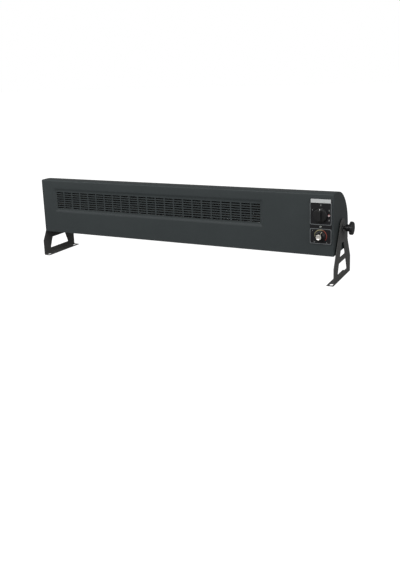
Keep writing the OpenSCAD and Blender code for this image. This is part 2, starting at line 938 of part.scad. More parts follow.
// Long bolts that hold the shields and the stator together
module motor_bolts() {
    color("#c9cccd")
    point_x(motor_x0 - bolt_head_t, wheel_y, wheel_z)
        for (a = [45 : 90 : 315])
            rotate([0, 0, a])
                translate([bolt_at, 0, 0]) {
                    cylinder(h = bolt_head_t, r = bolt_r + bolt_head_w);
                    cylinder(h = motor_x1 - motor_x0 + bolt_tip, r = bolt_r);
                    translate([0, 0, motor_x1 - motor_x0 + bolt_head_t])
                        cylinder(h = bolt_head_t, r = bolt_r + bolt_head_w, $fn = 6);
                }
}

// Posts that hold the motor on the right bulkhead
module motor_spacers() {
    color("#d8c35a")
    point_x(bulkhead_right + guide_t, wheel_y, wheel_z)
        for (a = [90 : 120 : 330])
            rotate([0, 0, a])
                translate([motor_r - 3 * spacer_r, 0, 0])
                    cylinder(h = spacer_l, r = spacer_r);
}

// Black plate that carries the controls on the casing's front
module control_base() {
    color("#18191b")
    difference() {
        along_y(plate_y, front_y)
            polygon(soften(box_points(control_x0, lower_z0, control_x1, control_z1), frame_r));
        point_front(control_mid, front_y + over, selector_z)
            cylinder(h = control_t + 2 * over, r = spindle_r + run);
        point_front(control_mid, front_y + over, dial_z)
            cylinder(h = control_t + 2 * over, r = spindle_r + run);
        point_front(control_mid + lamp_out, front_y + over, selector_z)
            cylinder(h = control_t + 2 * over, r = lamp_r - lamp_lip);
        point_front(control_mid, front_y + over, upper_z0 - between_h / 2)
            cylinder(h = control_t + 2 * over, r = screw_r + bearing_fit);
    }
}

// Raised frame round a plate that reaches from z0 to z1
module bezel(z0, z1) {
    along_y(plate_y - frame_t, plate_y)
        difference() {
            polygon(soften(box_points(control_x0, z0, control_x1, z1), frame_r));
            polygon(soften(box_points(control_x0 + frame_w, z0 + frame_w,
                control_x1 - frame_w, z1 - frame_w), frame_r - frame_w / 2));
        }
}

// Outline of a plate that lies inside a frame from z0 to z1 with the gap e to it
module face_outline(z0, z1, e) {
    polygon(soften(box_points(control_x0 + frame_w + e, z0 + frame_w + e,
        control_x1 - frame_w - e, z1 - frame_w - e), frame_r - frame_w / 2));
}

// Thin plate inside a frame that reaches from z0 to z1
module face_plate(z0, z1) {
    along_y(face_y, plate_y)
        face_outline(z0, z1, bearing_fit);
}

// Room that the pale strip takes from the upper frame and plate
module strip_room() {
    translate([control_x0 - over, plate_y - frame_t - over, strip_z0])
        cube([control_w + 2 * over, frame_t + 2 * over, strip_h + over]);
}

// Raised frame round the sides and the bottom of the upper plate
module upper_bezel() {
    color("#5c6062")
    difference() {
        bezel(upper_z0, control_z1);
        strip_room();
    }
}

module lower_bezel() {
    color("#5c6062")
    bezel(lower_z0, lower_z1);
}

module upper_plate() {
    color("#17181a")
    difference() {
        face_plate(upper_z0, control_z1);
        strip_room();
        point_front(control_mid, plate_y + over, selector_z)
            cylinder(h = face_t + 2 * over, r = spindle_r + run);
        point_front(control_mid + lamp_out, plate_y + over, selector_z)
            cylinder(h = face_t + 2 * over, r = lamp_r - lamp_lip);
    }
}

module lower_plate() {
    color("#17181a")
    difference() {
        face_plate(lower_z0, lower_z1);
        point_front(control_mid, plate_y + over, dial_z)
            cylinder(h = face_t + 2 * over, r = spindle_r + run);
    }
}

// Bare pale strip that closes the upper frame at the top
module label_strip() {
    color("#d9dcdb")
    along_y(plate_y - strip_t, plate_y)
        polygon(soften(box_points(control_x0 + strip_inset, strip_z0 + seam_gap,
            control_x1 - strip_inset, control_z1 - seam_gap), strip_r));
}

// Screw that holds the control plate, between the framed plates
module fascia_screw() {
    color("#8b8d8c")
    translate([control_mid, plate_y, upper_z0 - between_h / 2])
        rotate([-90, 0, 0])
            screw(control_t + sheet + screw_tip);
}

// Body of a rotary control behind the plate, with the bore for its spindle
module control_body(z, w, d) {
    difference() {
        union() {
            translate([control_mid - w / 2, front_y, z - w / 2])
                cube([w, d, w]);
            for (x = [-1, 1], s = [-1, 1])
                translate([control_mid + x * w / 4 - tab_w / 2, front_y + d,
                    z + s * w / 4 - tab_t / 2])
                    cube([tab_w, tab_l, tab_t]);
        }
        point_front(control_mid, front_y + spindle_in + over, z)
            cylinder(h = spindle_in + 2 * over, r = spindle_r + bearing_fit);
    }
}

module selector_switch() {
    color("#e4e1d6")
    control_body(selector_z, switch_w, switch_d);
}

module thermostat_body() {
    color("#c8c9c4")
    control_body(dial_z, switch_w - thermostat_less, switch_d - thermostat_less);
}

// Quarter bend of the capillary from +X towards +Y, centred on the origin
module capillary_quarter() {
    rotate_extrude(angle = 90)
        translate([capillary_bend, 0])
            circle(capillary_r, $fn = 16);
}

// Capillary tube from the thermostat down, back and along to its bulb in the intake
module sensor_capillary() {
    y0 = front_y + switch_d / 2;
    bulb_x = bulkhead_right - sensor_inset;
    color("#b4763c") {
        translate([control_mid, y0, sensor_z + capillary_bend])
            cylinder(h = dial_z - (switch_w - thermostat_less) / 2 - sensor_z - capillary_bend,
                r = capillary_r);
        translate([control_mid, y0 + capillary_bend, sensor_z + capillary_bend])
            rotate([0, 0, 180])
                rotate([-90, 0, 90])
                    capillary_quarter();
        translate([control_mid, sensor_y - capillary_bend, sensor_z])
            rotate([90, 0, 0])
                cylinder(h = sensor_y - y0 - 2 * capillary_bend, r = capillary_r);
        translate([control_mid - capillary_bend, sensor_y - capillary_bend, sensor_z])
            capillary_quarter();
        point_x(bulb_x, sensor_y, sensor_z) {
            cylinder(h = control_mid - capillary_bend - bulb_x, r = capillary_r);
            cylinder(h = sensor_l, r = sensor_r);
        }
    }
}

// Pilot lamp with a low domed lens in front of the plate
module pilot_lamp() {
    color("#d98d86")
    point_front(control_mid + lamp_out, face_y, selector_z) {
        rotate_extrude()
            intersection() {
                square([lamp_r, lens_h]);
                translate([0, lens_h - lens_r])
                    circle(lens_r);
            }
        translate([0, 0, -lamp_l])
            cylinder(h = lamp_l, r = lamp_r - lamp_lip - bearing_fit);
    }
}

// Screw terminals for the supply cable, on the casing's underside
module terminal_block() {
    poles = 5;
    color("#ded9c6")
    translate([inlet_x - poles * pole_w / 2, rear_y - block_back, body_z + sheet])
        difference() {
            cube([poles * pole_w, block_d, block_h]);
            for (i = [0 : poles - 1], y = [1, 3] * block_d / 4)
                translate([(i + 0.5) * pole_w, y, block_floor])
                    cylinder(h = block_h, r = 0.3 * pole_w);
        }
}

// Cross-section of one blade, curved so that its outer edge leads
module blade() {
    r_out = wheel_r - blade_inset;
    r_in = r_out - blade_w;
    intersection() {
        difference() {
            circle(r_out);
            circle(r_in);
        }
        translate([r_in, blade_curve_r])
            difference() {
                circle(blade_curve_r + blade_t / 2);
                circle(blade_curve_r - blade_t / 2);
            }
        translate([r_in - over, -over])
            square([blade_w + 2 * over, blade_curve_r]);
    }
}

// Cross-flow wheel: long curved blades through a row of ring discs, with a hub at each end
module blower_wheel() {
    bay = (wheel_x1 - wheel_x0 - disc_t) / wheel_bays;
    color("#2f3133")
    translate([0, wheel_y, wheel_z]) {
        along_x(wheel_x0, wheel_x1)
            for (i = [0 : blade_count - 1])
                rotate([0, 0, i * 360 / blade_count])
                    blade();
        for (i = [1 : wheel_bays - 1])
            point_x(wheel_x0 + i * bay, 0, 0)
                tube(wheel_r, wheel_r - ring_w, disc_t);
        for (x = [wheel_x0, wheel_x1 - disc_t])
            point_x(x, 0, 0)
                tube(wheel_r, shaft_r + seat_fit, disc_t);
        point_x(wheel_x0, 0, 0)
            tube(hub_r, shaft_r + seat_fit, hub_l);
        point_x(wheel_x1 - hub_l, 0, 0)
            tube(hub_r, shaft_r + seat_fit, hub_l);
    }
}

// Short shaft at the wheel's far end
module stub_shaft() {
    x0 = bulkhead_left - guide_t - cup_l - 2 * bearing_out - over;
    color("#c9cccd")
    point_x(x0, wheel_y, wheel_z)
        cylinder(h = wheel_x0 + hub_l - x0, r = shaft_r);
}

// Squirrel-cage rotor with its two end rings
module motor_rotor() {
    color("#7d8082")
    point_x(stator_x0, wheel_y, wheel_z) {
        tube(rotor_r, shaft_r + seat_fit, stator_l);
        translate([0, 0, -cage_out])
            tube(rotor_r - air_gap, rotor_r - cage_w, stator_l + 2 * cage_out);
    }
}

// Shaft through the motor and into the wheel's near hub
module motor_shaft() {
    x0 = wheel_x1 - hub_l;
    color("#c9cccd")
    point_x(x0, wheel_y, wheel_z)
        cylinder(h = motor_x1 + spacer_r - x0, r = shaft_r);
}

// Round selector knob with a straight grip bar across its face
module selector_knob() {
    color("#141517")
    point_front(control_mid, knob_y, selector_z)
        difference() {
            union() {
                rotate_extrude()
                    polygon([[0, 0], [selector_r, 0], [selector_r, selector_t - knob_edge],
                        [selector_r - knob_edge, selector_t], [0, selector_t]]);
                linear_extrude(selector_t + grip_h)
                    polygon(soften(box_points(-grip_w / 2, grip_inset - selector_r,
                        grip_w / 2, selector_r - grip_inset), grip_inset));
            }
            translate([0, 0, -over])
                cylinder(h = selector_t + knob_floor + over, r = spindle_r + seat_fit);
        }
}

module selector_spindle() {
    color("#c9cccd")
    point_front(control_mid, front_y + spindle_in, selector_z)
        cylinder(h = front_y + spindle_in - knob_y + selector_t + knob_floor - over,
            r = spindle_r);
}

// Tall thermostat knob: flared skirt, tapered stem and a pointer rib
module thermostat_knob() {
    color("#141517")
    point_front(control_mid, knob_y, dial_z)
        difference() {
            union() {
                rotate_extrude()
                    polygon([[0, 0], [skirt_r, 0], [skirt_r, skirt_h], [stem_r + 2, 2 * skirt_h],
                        [stem_r, stem_h], [0, stem_h]]);
                rotate([0, 0, -dial_setting])
                    rotate([90, 0, 90])
                        translate([0, 0, -1])
                            linear_extrude(2)
                                polygon([[stem_r - 2, skirt_h + 1], [skirt_r - 1, skirt_h - 0.5],
                                    [skirt_r - 1, skirt_h + 2], [stem_r + 0.5, stem_h - 1],
                                    [stem_r - 2, stem_h - 1]]);
            }
            translate([0, 0, -over])
                cylinder(h = stem_h - knob_floor + over, r = spindle_r + seat_fit);
        }
}

// Bright disc on the front of the thermostat knob
module thermostat_cap() {
    color("#cfd2d3")
    point_front(control_mid, knob_y - stem_h, dial_z)
        rotate_extrude()
            polygon([[0, 0], [stem_r - cap_edge, 0], [stem_r - cap_edge, cap_edge],
                [stem_r - 2 * cap_edge, 2 * cap_edge], [0, 2 * cap_edge]]);
}

module thermostat_spindle() {
    color("#c9cccd")
    point_front(control_mid, front_y + spindle_in, dial_z)
        cylinder(h = front_y + spindle_in - knob_y + stem_h - knob_floor - over, r = spindle_r);
}

// Outline of a bracket: wide foot, straight slopes that run tangent into the round head
module bracket_outline() {
    d = norm([foot_half, pivot_z - foot_edge_h]);
    a = acos(head_r / d) - atan2(pivot_z - foot_edge_h, foot_half);
    ty = head_r * cos(a);
    tz = pivot_z + head_r * sin(a);
    translate([0, pivot_z])
        circle(head_r);
    polygon([[-foot_half, bend_top], [foot_half, bend_top], [foot_half, foot_edge_h],
        [ty, tz], [-ty, tz], [-foot_half, foot_edge_h]]);
}

// Trapezoid window between z0 and z1 with half widths w0 below and w1 above
module bracket_window(z0, z1, w0, w1) {
    polygon(soften([[-w0, z0], [w0, z0], [w1, z1], [-w1, z1]], window_r));
}

// Flat steel bracket with two windows and a foot bent inwards, drawn for the right end
module bracket() {
    color("#424343")
    difference() {
        union() {
            along_x(bracket_in, bracket_out)
                difference() {
                    bracket_outline();
                    bracket_window(sill_h, low_window_z, low_window_w0, low_window_w1);
                    bracket_window(up_window_z, up_window_z + up_window_h,
                        up_window_w0, up_window_w1);
                }
            along_y(-foot_half, foot_half) {
                translate([foot_in, 0])
                    square([foot_w - bend_top, bracket_t]);
                intersection() {
                    translate([bracket_out - bend_top, bend_top])
                        difference() {
                            circle(bend_top);
                            circle(bend_r);
                        }
                    translate([bracket_out - bend_top, 0])
                        square(bend_top);
                }
            }
        }
        point_x(bracket_in - over, 0, pivot_z)
            cylinder(h = bracket_t + 2 * over, r = stud_r + bearing_fit);
        for (side = [-1, 1])
            translate([slot_mid_x, side * foot_slot_pitch / 2, -over])
                linear_extrude(bracket_t + 2 * over) {
                    square([foot_slot_w, foot_slot_l - foot_slot_w], center = true);
                    for (e = [-1, 1])
                        translate([0, e * (foot_slot_l - foot_slot_w) / 2])
                            circle(foot_slot_w / 2);
                }
    }
}

// Steel washer under a clamp knob's collar
module clamp_washer() {
    color("#8a8d8f")
    point_x(washer_in, 0, pivot_z)
        tube(washer_r, stud_r + bearing_fit, washer_t);
}

// Moulded clamp knob: thin neck, cone, collar and a round-edged head with finger hollows
module clamp_knob() {
    head = neck_l + collar_l;
    face = head + knob_t;
    color("#121214")
    point_x(neck_in, 0, pivot_z)
        difference() {
            rotate_extrude()
                union() {
                    polygon([[0, 0], [neck_r, 0], [neck_r, neck_l], [collar_r, neck_l + cone_l],
                        [collar_r, head], [knob_r - knob_bevel, head], [knob_r, head + knob_bevel],
                        [knob_r, face - knob_round], [knob_r - knob_round, face], [0, face]]);
                    translate([knob_r - knob_round, face - knob_round])
                        circle(knob_round);
                }
            for (i = [0 : knob_lobes - 1])
                rotate([0, 0, (i + 0.5) * 360 / knob_lobes])
                    translate([knob_r + lobe_bite * lobe_r, 0, head - over])
                        cylinder(h = knob_t + 2 * over, r = lobe_r);
            translate([0, 0, -over])
                cylinder(h = stud_out - neck_in + over, r = stud_r + seat_fit);
        }
}

// Threaded stud that joins knob, bracket and clamp nut
module clamp_stud() {
    color("#b8bbbd")
    point_x(stud_in, 0, pivot_z)
        cylinder(h = stud_out - stud_in, r = stud_r);
}

module right_end_cap() end_cap();
module left_end_cap() mirror([1, 0, 0]) end_cap();
module right_clamp_nut() clamp_nut();
module left_clamp_nut() mirror([1, 0, 0]) clamp_nut();
module right_friction_disc() friction_disc();
module left_friction_disc() mirror([1, 0, 0]) friction_disc();
module right_bracket() bracket();
module left_bracket() mirror([1, 0, 0]) bracket();
module right_clamp_washer() clamp_washer();
module left_clamp_washer() mirror([1, 0, 0]) clamp_washer();
module right_clamp_knob() clamp_knob();
module left_clamp_knob() mirror([1, 0, 0]) clamp_knob();
module right_clamp_stud() clamp_stud();
module left_clamp_stud() mirror([1, 0, 0]) clamp_stud();

front_panel();
rear_cover();
left_end_cap();
right_end_cap();
left_clamp_nut();
right_clamp_nut();
left_friction_disc();
right_friction_disc();
seam_screws();
cap_screws();
cable_gland();
left_bulkhead();
right_bulkhead();
air_scroll();
air_cutoff();
upper_element();
lower_element();
element_insulators();
thermal_cutout();
bearing_cup();
bearing_rubber();
end_bearing();
motor_front_shield();
motor_rear_shield();
motor_stator();
motor_windings();
motor_bolts();
motor_spacers();
control_base();
upper_bezel();
upper_plate();
lower_bezel();
lower_plate();
label_strip();
fascia_screw();
selector_switch();
thermostat_body();
sensor_capillary();
pilot_lamp();
terminal_block();
blower_wheel();
stub_shaft();
motor_rotor();
motor_shaft();
selector_knob();
selector_spindle();
thermostat_knob();
thermostat_cap();
thermostat_spindle();
left_bracket();
right_bracket();
left_clamp_washer();
left_clamp_knob();
left_clamp_stud();
right_clamp_washer();
right_clamp_knob();
right_clamp_stud();
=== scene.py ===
import math

import bpy
from mathutils import Matrix, Vector


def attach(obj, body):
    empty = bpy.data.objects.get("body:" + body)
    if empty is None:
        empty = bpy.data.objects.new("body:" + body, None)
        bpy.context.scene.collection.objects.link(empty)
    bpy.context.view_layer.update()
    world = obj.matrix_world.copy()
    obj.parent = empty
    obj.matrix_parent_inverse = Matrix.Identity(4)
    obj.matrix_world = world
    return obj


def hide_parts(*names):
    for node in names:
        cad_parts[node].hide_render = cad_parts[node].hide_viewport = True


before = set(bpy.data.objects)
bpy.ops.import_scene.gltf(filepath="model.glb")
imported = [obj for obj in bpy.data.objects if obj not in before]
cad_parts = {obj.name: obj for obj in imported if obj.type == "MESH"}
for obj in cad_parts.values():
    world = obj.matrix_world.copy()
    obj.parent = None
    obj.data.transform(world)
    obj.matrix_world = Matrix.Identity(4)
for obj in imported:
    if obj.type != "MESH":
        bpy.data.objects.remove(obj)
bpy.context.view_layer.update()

# The camera stands to the right of the heater and a little above it, turned to the left.
# Its frame is shifted up, because the heater fills the upper half of an upright picture.
frame_width, frame_height = 400, 570
camera_place = Vector((1.0290, -1.8735, 0.5925))
camera_yaw = math.radians(27.547)
camera_pitch = math.radians(13.279)
camera_roll = math.radians(-2.043)
focal_pixels = 695.7
axis_pixel = Vector((200, 235))
ahead = Vector((
    -math.sin(camera_yaw) * math.cos(camera_pitch),
    math.cos(camera_yaw) * math.cos(camera_pitch),
    -math.sin(camera_pitch),
))
level_right = Vector((math.cos(camera_yaw), math.sin(camera_yaw), 0))
level_up = level_right.cross(ahead)
camera_right = math.cos(camera_roll) * level_right + math.sin(camera_roll) * level_up
camera_up = math.cos(camera_roll) * level_up - math.sin(camera_roll) * level_right
camera_data = bpy.data.cameras.new("camera")
camera_data.sensor_width = 36
camera_data.lens = focal_pixels / frame_height * camera_data.sensor_width
camera_data.shift_x = (frame_width / 2 - axis_pixel.x) / frame_height
camera_data.shift_y = (axis_pixel.y - frame_height / 2) / frame_height
camera = bpy.data.objects.new("camera", camera_data)
camera.matrix_world = Matrix((
    (camera_right.x, camera_up.x, -ahead.x, camera_place.x),
    (camera_right.y, camera_up.y, -ahead.y, camera_place.y),
    (camera_right.z, camera_up.z, -ahead.z, camera_place.z),
    (0, 0, 0, 1),
))
bpy.context.scene.collection.objects.link(camera)
bpy.context.scene.camera = camera

# The studio: a pale floor that glows like a light table, under a bright backdrop that the
# lens sees white. The room itself is dim, so dark paint keeps its tone, and four soft boxes
# light the heater: a large one high in front and weaker ones on both sides and behind.
bpy.context.scene.view_settings.view_transform = "Standard"
floor_span = 40
floor_tone = 0.22
floor_glow = 1.0
room_light = 0.29
bpy.ops.object.select_all(action="DESELECT")
bpy.ops.mesh.primitive_plane_add(size=floor_span, location=(0, 0, 0))
floor = bpy.context.object
floor.name = "floor"
floor_paint = bpy.data.materials.new("floor_paint")
floor_paint.use_nodes = True
floor_shader = floor_paint.node_tree.nodes["Principled BSDF"]
floor_shader.inputs["Base Color"].default_value = (floor_tone, floor_tone, floor_tone, 1)
floor_shader.inputs["Roughness"].default_value = 0.85
floor_shader.inputs["Specular IOR Level"].default_value = 0.1
floor_shader.inputs["Emission Color"].default_value = (1, 1, 1, 1)
seen = floor_paint.node_tree.nodes.new("ShaderNodeLightPath")
glow = floor_paint.node_tree.nodes.new("ShaderNodeMath")
glow.operation = "MULTIPLY"
glow.inputs[1].default_value = floor_glow
floor_paint.node_tree.links.new(seen.outputs["Is Camera Ray"], glow.inputs[0])
floor_paint.node_tree.links.new(glow.outputs[0], floor_shader.inputs["Emission Strength"])
floor.data.materials.append(floor_paint)
room = bpy.data.worlds.new("room")
room.use_nodes = True
backdrop = room.node_tree.nodes["Background"]
backdrop.inputs["Color"].default_value = (1, 1, 1, 1)
seen = room.node_tree.nodes.new("ShaderNodeLightPath")
level = room.node_tree.nodes.new("ShaderNodeMapRange")
level.inputs["To Min"].default_value = room_light
level.inputs["To Max"].default_value = 1.0
room.node_tree.links.new(seen.outputs["Is Camera Ray"], level.inputs["Value"])
room.node_tree.links.new(level.outputs["Result"], backdrop.inputs["Strength"])
bpy.context.scene.world = room


def soft_box(name, place, aim, width, watts):
    """A square area light at place that faces aim."""
    lamp = bpy.data.lights.new(name, "AREA")
    lamp.shape = "SQUARE"
    lamp.size = width
    lamp.energy = watts
    holder = bpy.data.objects.new(name, lamp)
    holder.location = place
    holder.rotation_euler = (Vector(aim) - Vector(place)).to_track_quat("-Z", "Y").to_euler()
    bpy.context.scene.collection.objects.link(holder)


heater_middle = (0, 0, 0.15)
soft_box("high_box", (-0.1, -2.9, 2.1), heater_middle, 2.0, 88)
soft_box("right_box", (2.9, -0.7, 1.1), heater_middle, 1.6, 24)
soft_box("left_box", (-2.6, -1.4, 1.6), heater_middle, 1.6, 26)
soft_box("rear_box", (2.0, 2.6, 1.5), heater_middle, 1.8, 14)


# Casing front: one folded steel sheet with returns above and below and a pressed field of
# slots. The die leaves a soft slope round the field and small round corners in each slot.
# It is powder-coated charcoal, with a fine pebbled skin.
mm = 0.001
sheet = 1.2 * mm
front_y = -70.5 * mm
field_y = -67.5 * mm
slot_corner_r = 1.1 * mm
field_fold_r = 2.2 * mm
sheet_edge = 0.3 * mm
merge_d = 0.001 * mm
flat_turn = math.radians(0.4)


def picked_piece(piece):
    """Makes piece the only one picked, for the operators that follow."""
    bpy.ops.object.select_all(action="DESELECT")
    piece.select_set(True)
    bpy.context.view_layer.objects.active = piece


def whole_copy(node, name):
    """The node's shape as a piece of its own, its corners merged and its flat faces cleared."""
    piece = bpy.data.objects.new(name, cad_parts[node].data.copy())
    bpy.context.scene.collection.objects.link(piece)
    piece.data.materials.clear()
    picked_piece(piece)
    bpy.ops.object.mode_set(mode="EDIT")
    bpy.ops.mesh.customdata_custom_splitnormals_clear()
    bpy.ops.mesh.select_all(action="SELECT")
    bpy.ops.mesh.remove_doubles(threshold=merge_d)
    bpy.ops.mesh.dissolve_limited(angle_limit=flat_turn)
    bpy.ops.mesh.quads_convert_to_tris(quad_method="BEAUTY", ngon_method="BEAUTY")
    bpy.ops.object.mode_set(mode="OBJECT")
    return piece


def round_edges(piece, radius, steps, wanted):
    """Rounds the edges for which wanted, given their two ends, is true."""
    picked_piece(piece)
    bpy.ops.object.mode_set(mode="EDIT")
    bpy.ops.mesh.select_mode(type="EDGE")
    bpy.ops.mesh.select_all(action="DESELECT")
    bpy.ops.object.mode_set(mode="OBJECT")
    mesh = piece.data
    for edge in mesh.edges:
        edge.select = wanted(*(mesh.vertices[i].co for i in edge.vertices))
    bpy.ops.object.mode_set(mode="EDIT")
    bpy.ops.mesh.bevel(offset=radius, segments=steps, affect="EDGES", clamp_overlap=False,
                       loop_slide=False)
    bpy.ops.object.mode_set(mode="OBJECT")


def ease(piece, width, steps=2, sharp=32):
    """Breaks every edge that turns by more than sharp degrees, and shades the rest smooth."""
    picked_piece(piece)
    bpy.ops.object.shade_smooth()
    bevel = piece.modifiers.new("eased_edges", "BEVEL")
    bevel.width = width
    bevel.segments = steps
    bevel.limit_method = "ANGLE"
    bevel.angle_limit = math.radians(sharp)
    bevel.use_clamp_overlap = False
    bevel.loop_slide = False
    bevel.harden_normals = True
    bpy.ops.object.modifier_apply(modifier=bevel.name)


def fit(piece, finish, slot, body, *nodes):
    """Gives piece its material, and puts it on its body in place of nodes."""
    piece.data.materials.clear()
    piece.data.materials.append(finish)
    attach(piece, body)
    if nodes:
        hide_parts(*nodes)


class Shade:
    """A socket of a material's nodes. Sums, products and the like of sockets become Math nodes."""

    def __init__(self, tree, socket=None):
        self.tree = tree
        self.socket = socket

    def node(self, kind, settings, inputs, output=0):
        """Adds a node with its settings and the values or links of its sockets."""
        made = self.tree.nodes.new(kind)
        for name, value in settings.items():
            if name == "stops":
                ramp = made.color_ramp
                while len(ramp.elements) < len(value):
                    ramp.elements.new(1)
                for element, (place, colour) in zip(ramp.elements, value):
                    element.position = place
                    element.color = colour
            else:
                setattr(made, name, value)
        for name, value in inputs.items():
            if isinstance(value, Shade):
                self.tree.links.new(value.socket, made.inputs[name])
            else:
                made.inputs[name].default_value = value
        return Shade(self.tree, made.outputs[output])

    def maths(self, operation, a, b):
        return self.node("ShaderNodeMath", {"operation": operation}, {0: a, 1: b})

    def __add__(self, other):
        return self.maths("ADD", self, other)

    def __radd__(self, other):
        return self.maths("ADD", other, self)

    def __sub__(self, other):
        return self.maths("SUBTRACT", self, other)

    def __rsub__(self, other):
        return self.maths("SUBTRACT", other, self)

    def __mul__(self, other):
        return self.maths("MULTIPLY", self, other)

    def __rmul__(self, other):
        return self.maths("MULTIPLY", other, self)

    def clamped(self, low, high):
        """This value's stretch from low to high, spread over 0 to 1."""
        return self.node("ShaderNodeMapRange", {"clamp": True},
                         {"Value": self, "From Min": low, "From Max": high})

    def mixed(self, a, b):
        """Colour a where this value is 0 and colour b where it is 1."""
        return self.node("ShaderNodeMix", {"data_type": "RGBA", "clamp_factor": True},
                         {0: self, 6: a, 7: b}, 2)


class Finish:
    """A new material: its surface shader, its pattern coordinates and the patterns they carry."""

    def __init__(self, name):
        self.material = bpy.data.materials.new(name)
        self.material.use_nodes = True
        self.tree = self.material.node_tree
        self.shader = self.tree.nodes["Principled BSDF"]
        self.shade = Shade(self.tree)
        self.place = self.shade.node("ShaderNodeTexCoord", {}, {}, "Object")

    def noise(self, size, detail=2.0, stretch=(1, 1, 1)):
        """Cloudy noise whose blobs are about size metres across."""
        spread = self.shade.node("ShaderNodeMapping", {}, {"Vector": self.place, "Scale": stretch})
        return self.shade.node("ShaderNodeTexNoise", {},
                               {"Vector": spread, "Scale": 1 / size, "Detail": detail,
                                "Roughness": 0.5})

    def along(self, axis):
        """The place along X, Y or Z, in metres."""
        return self.shade.node("ShaderNodeSeparateXYZ", {}, {"Vector": self.place}, axis)

    def surface(self, **inputs):
        """Sets sockets of the surface shader, named with _ for each blank."""
        for name, value in inputs.items():
            socket = self.shader.inputs[name.replace("_", " ")]
            if isinstance(value, Shade):
                self.tree.links.new(value.socket, socket)
            else:
                socket.default_value = value

    def bumps(self, height, depth):
        """Raises the surface by height, a pattern from 0 to 1, times depth in metres."""
        bump = self.shade.node("ShaderNodeBump", {},
                               {"Height": height, "Distance": depth, "Strength": 1.0})
        self.surface(Normal=bump)


def linear(red, green, blue, share=1.0):
    """A shader colour from 0 to 255 display values, made lighter or darker by share."""

    def one(value):
        value = value / 255
        if value <= 0.04045:
            return share * (value / 12.92)
        return share * ((value + 0.055) / 1.055) ** 2.4

    return (one(red), one(green), one(blue), 1)


def powder_coat(name, tone):
    """Fine-textured baked powder coat: a pebbled skin with soft clouds of tone and gloss."""
    finish = Finish(name)
    clouds = finish.noise(110 * mm)
    pebbles = finish.noise(1.1 * mm, 1.0)
    waves = finish.noise(6 * mm, 1.0)
    grain = finish.noise(0.7 * mm, 0.0)
    tint = clouds.mixed(linear(*tone, 0.9), linear(*tone, 1.1))
    speck = grain.clamped(0.62, 0.80)
    finish.surface(
        Base_Color=(0.35 * speck).mixed(tint, linear(*tone, 1.8)),
        Roughness=0.46 + 0.10 * clouds + 0.10 * pebbles,
        Specular_IOR_Level=0.24,
    )
    finish.bumps(pebbles + 0.8 * waves, 0.05 * mm)
    return finish.material


casing_paint = powder_coat("casing_paint", (50, 55, 56))
casing_front = whole_copy("front_panel", "casing_front")
field_sides = ((-452.0 * mm, 292.4 * mm), (151.6 * mm, 230.5 * mm))
slope_w = 7 * mm
near = 0.02 * mm
fold_give = 0.1 * mm


def through_sheet(a, b):
    """True for the short edges through the sheet at the corners of the slots."""
    across = abs(a.x - b.x) + abs(a.z - b.z)
    deep = field_y - fold_give < min(a.y, b.y) and max(a.y, b.y) < field_y + 1.5 * sheet
    within = field_sides[0][0] - near < a.x < field_sides[0][1] + near
    return across < near and deep and abs(a.y - b.y) > 0.5 * sheet and within


def sides_met(v, inset):
    """The sides of the field's outline, drawn in by inset, that the place v lies on."""
    return {
        (axis, way)
        for axis, value in enumerate((v.x, v.z))
        for way, end in zip((1, -1), field_sides[axis])
        if abs(value - end - way * inset) < near
    }


def field_fold(a, b):
    """True for the folds in front: round the slope outside and inside, and at its corners."""
    met = [(sides_met(v, 0) if abs(v.y - front_y) < near else set(),
            sides_met(v, slope_w) if abs(v.y - field_y) < near else set()) for v in (a, b)]
    level = (met[0][0] & met[1][0]) or (met[0][1] & met[1][1])
    slanted = (
        len(met[0][0]) + len(met[1][0]) == 2
        and len(met[0][1]) + len(met[1][1]) == 2
        and (a - b).length < 2 * slope_w
    )
    return bool(level or slanted)


round_edges(casing_front, slot_corner_r, 3, through_sheet)
round_edges(casing_front, field_fold_r, 3, field_fold)
ease(casing_front, sheet_edge)
fit(casing_front, casing_paint, "casing_paint", "housing", "front_panel")


# Rear cover: one steel sheet that makes the top, the big round shoulder, the back with the
# air intake and the underside. It is painted as the front is, and screwed to it below.
back_y = 70.5 * mm


def through_back(a, b):
    """True for the short edges through the sheet at the corners of the intake slots."""
    across = abs(a.x - b.x) + abs(a.z - b.z)
    deep = min(a.y, b.y) > back_y - 1.5 * sheet
    within = field_sides[0][0] - near < a.x < field_sides[0][1] + near
    return across < near and deep and abs(a.y - b.y) > 0.5 * sheet and within


rear_cover = whole_copy("rear_cover", "casing_rear")
round_edges(rear_cover, slot_corner_r, 3, through_back)
ease(rear_cover, sheet_edge)
fit(rear_cover, casing_paint, "casing_paint", "housing", "rear_cover")

# End caps: flat plates with a rim that is pushed into the casing's ends. Their outline is
# filed round before they are painted.
cap_edge = 0.45 * mm
for side in ("left", "right"):
    cap = whole_copy(f"{side}_end_cap", f"casing_{side}_end")
    ease(cap, cap_edge)
    fit(cap, casing_paint, "casing_paint", "housing", f"{side}_end_cap")


# Pan-head screws with a cross recess: five join the two sheets below, four hold each end
# cap, and one holds the control plate. They are blackened, or plated on the control plate.
head_r = 3.4 * mm
head_h = 2.2 * mm
shank_r = 1.7 * mm
head_crown = 1.7 * mm
recess_l = 1.15 * head_r
recess_w = 0.9 * mm
recess_d = 1.3 * mm
tip = 0.8 * mm
screw_edge = 0.15 * mm


def cut(piece, tool, operation="DIFFERENCE"):
    """Takes tool out of piece, or joins the two, and clears the tool away."""
    picked_piece(piece)
    boolean = piece.modifiers.new("cut", "BOOLEAN")
    boolean.operation = operation
    boolean.object = tool
    boolean.solver = "EXACT"
    bpy.ops.object.modifier_apply(modifier=boolean.name)
    bpy.data.objects.remove(tool)


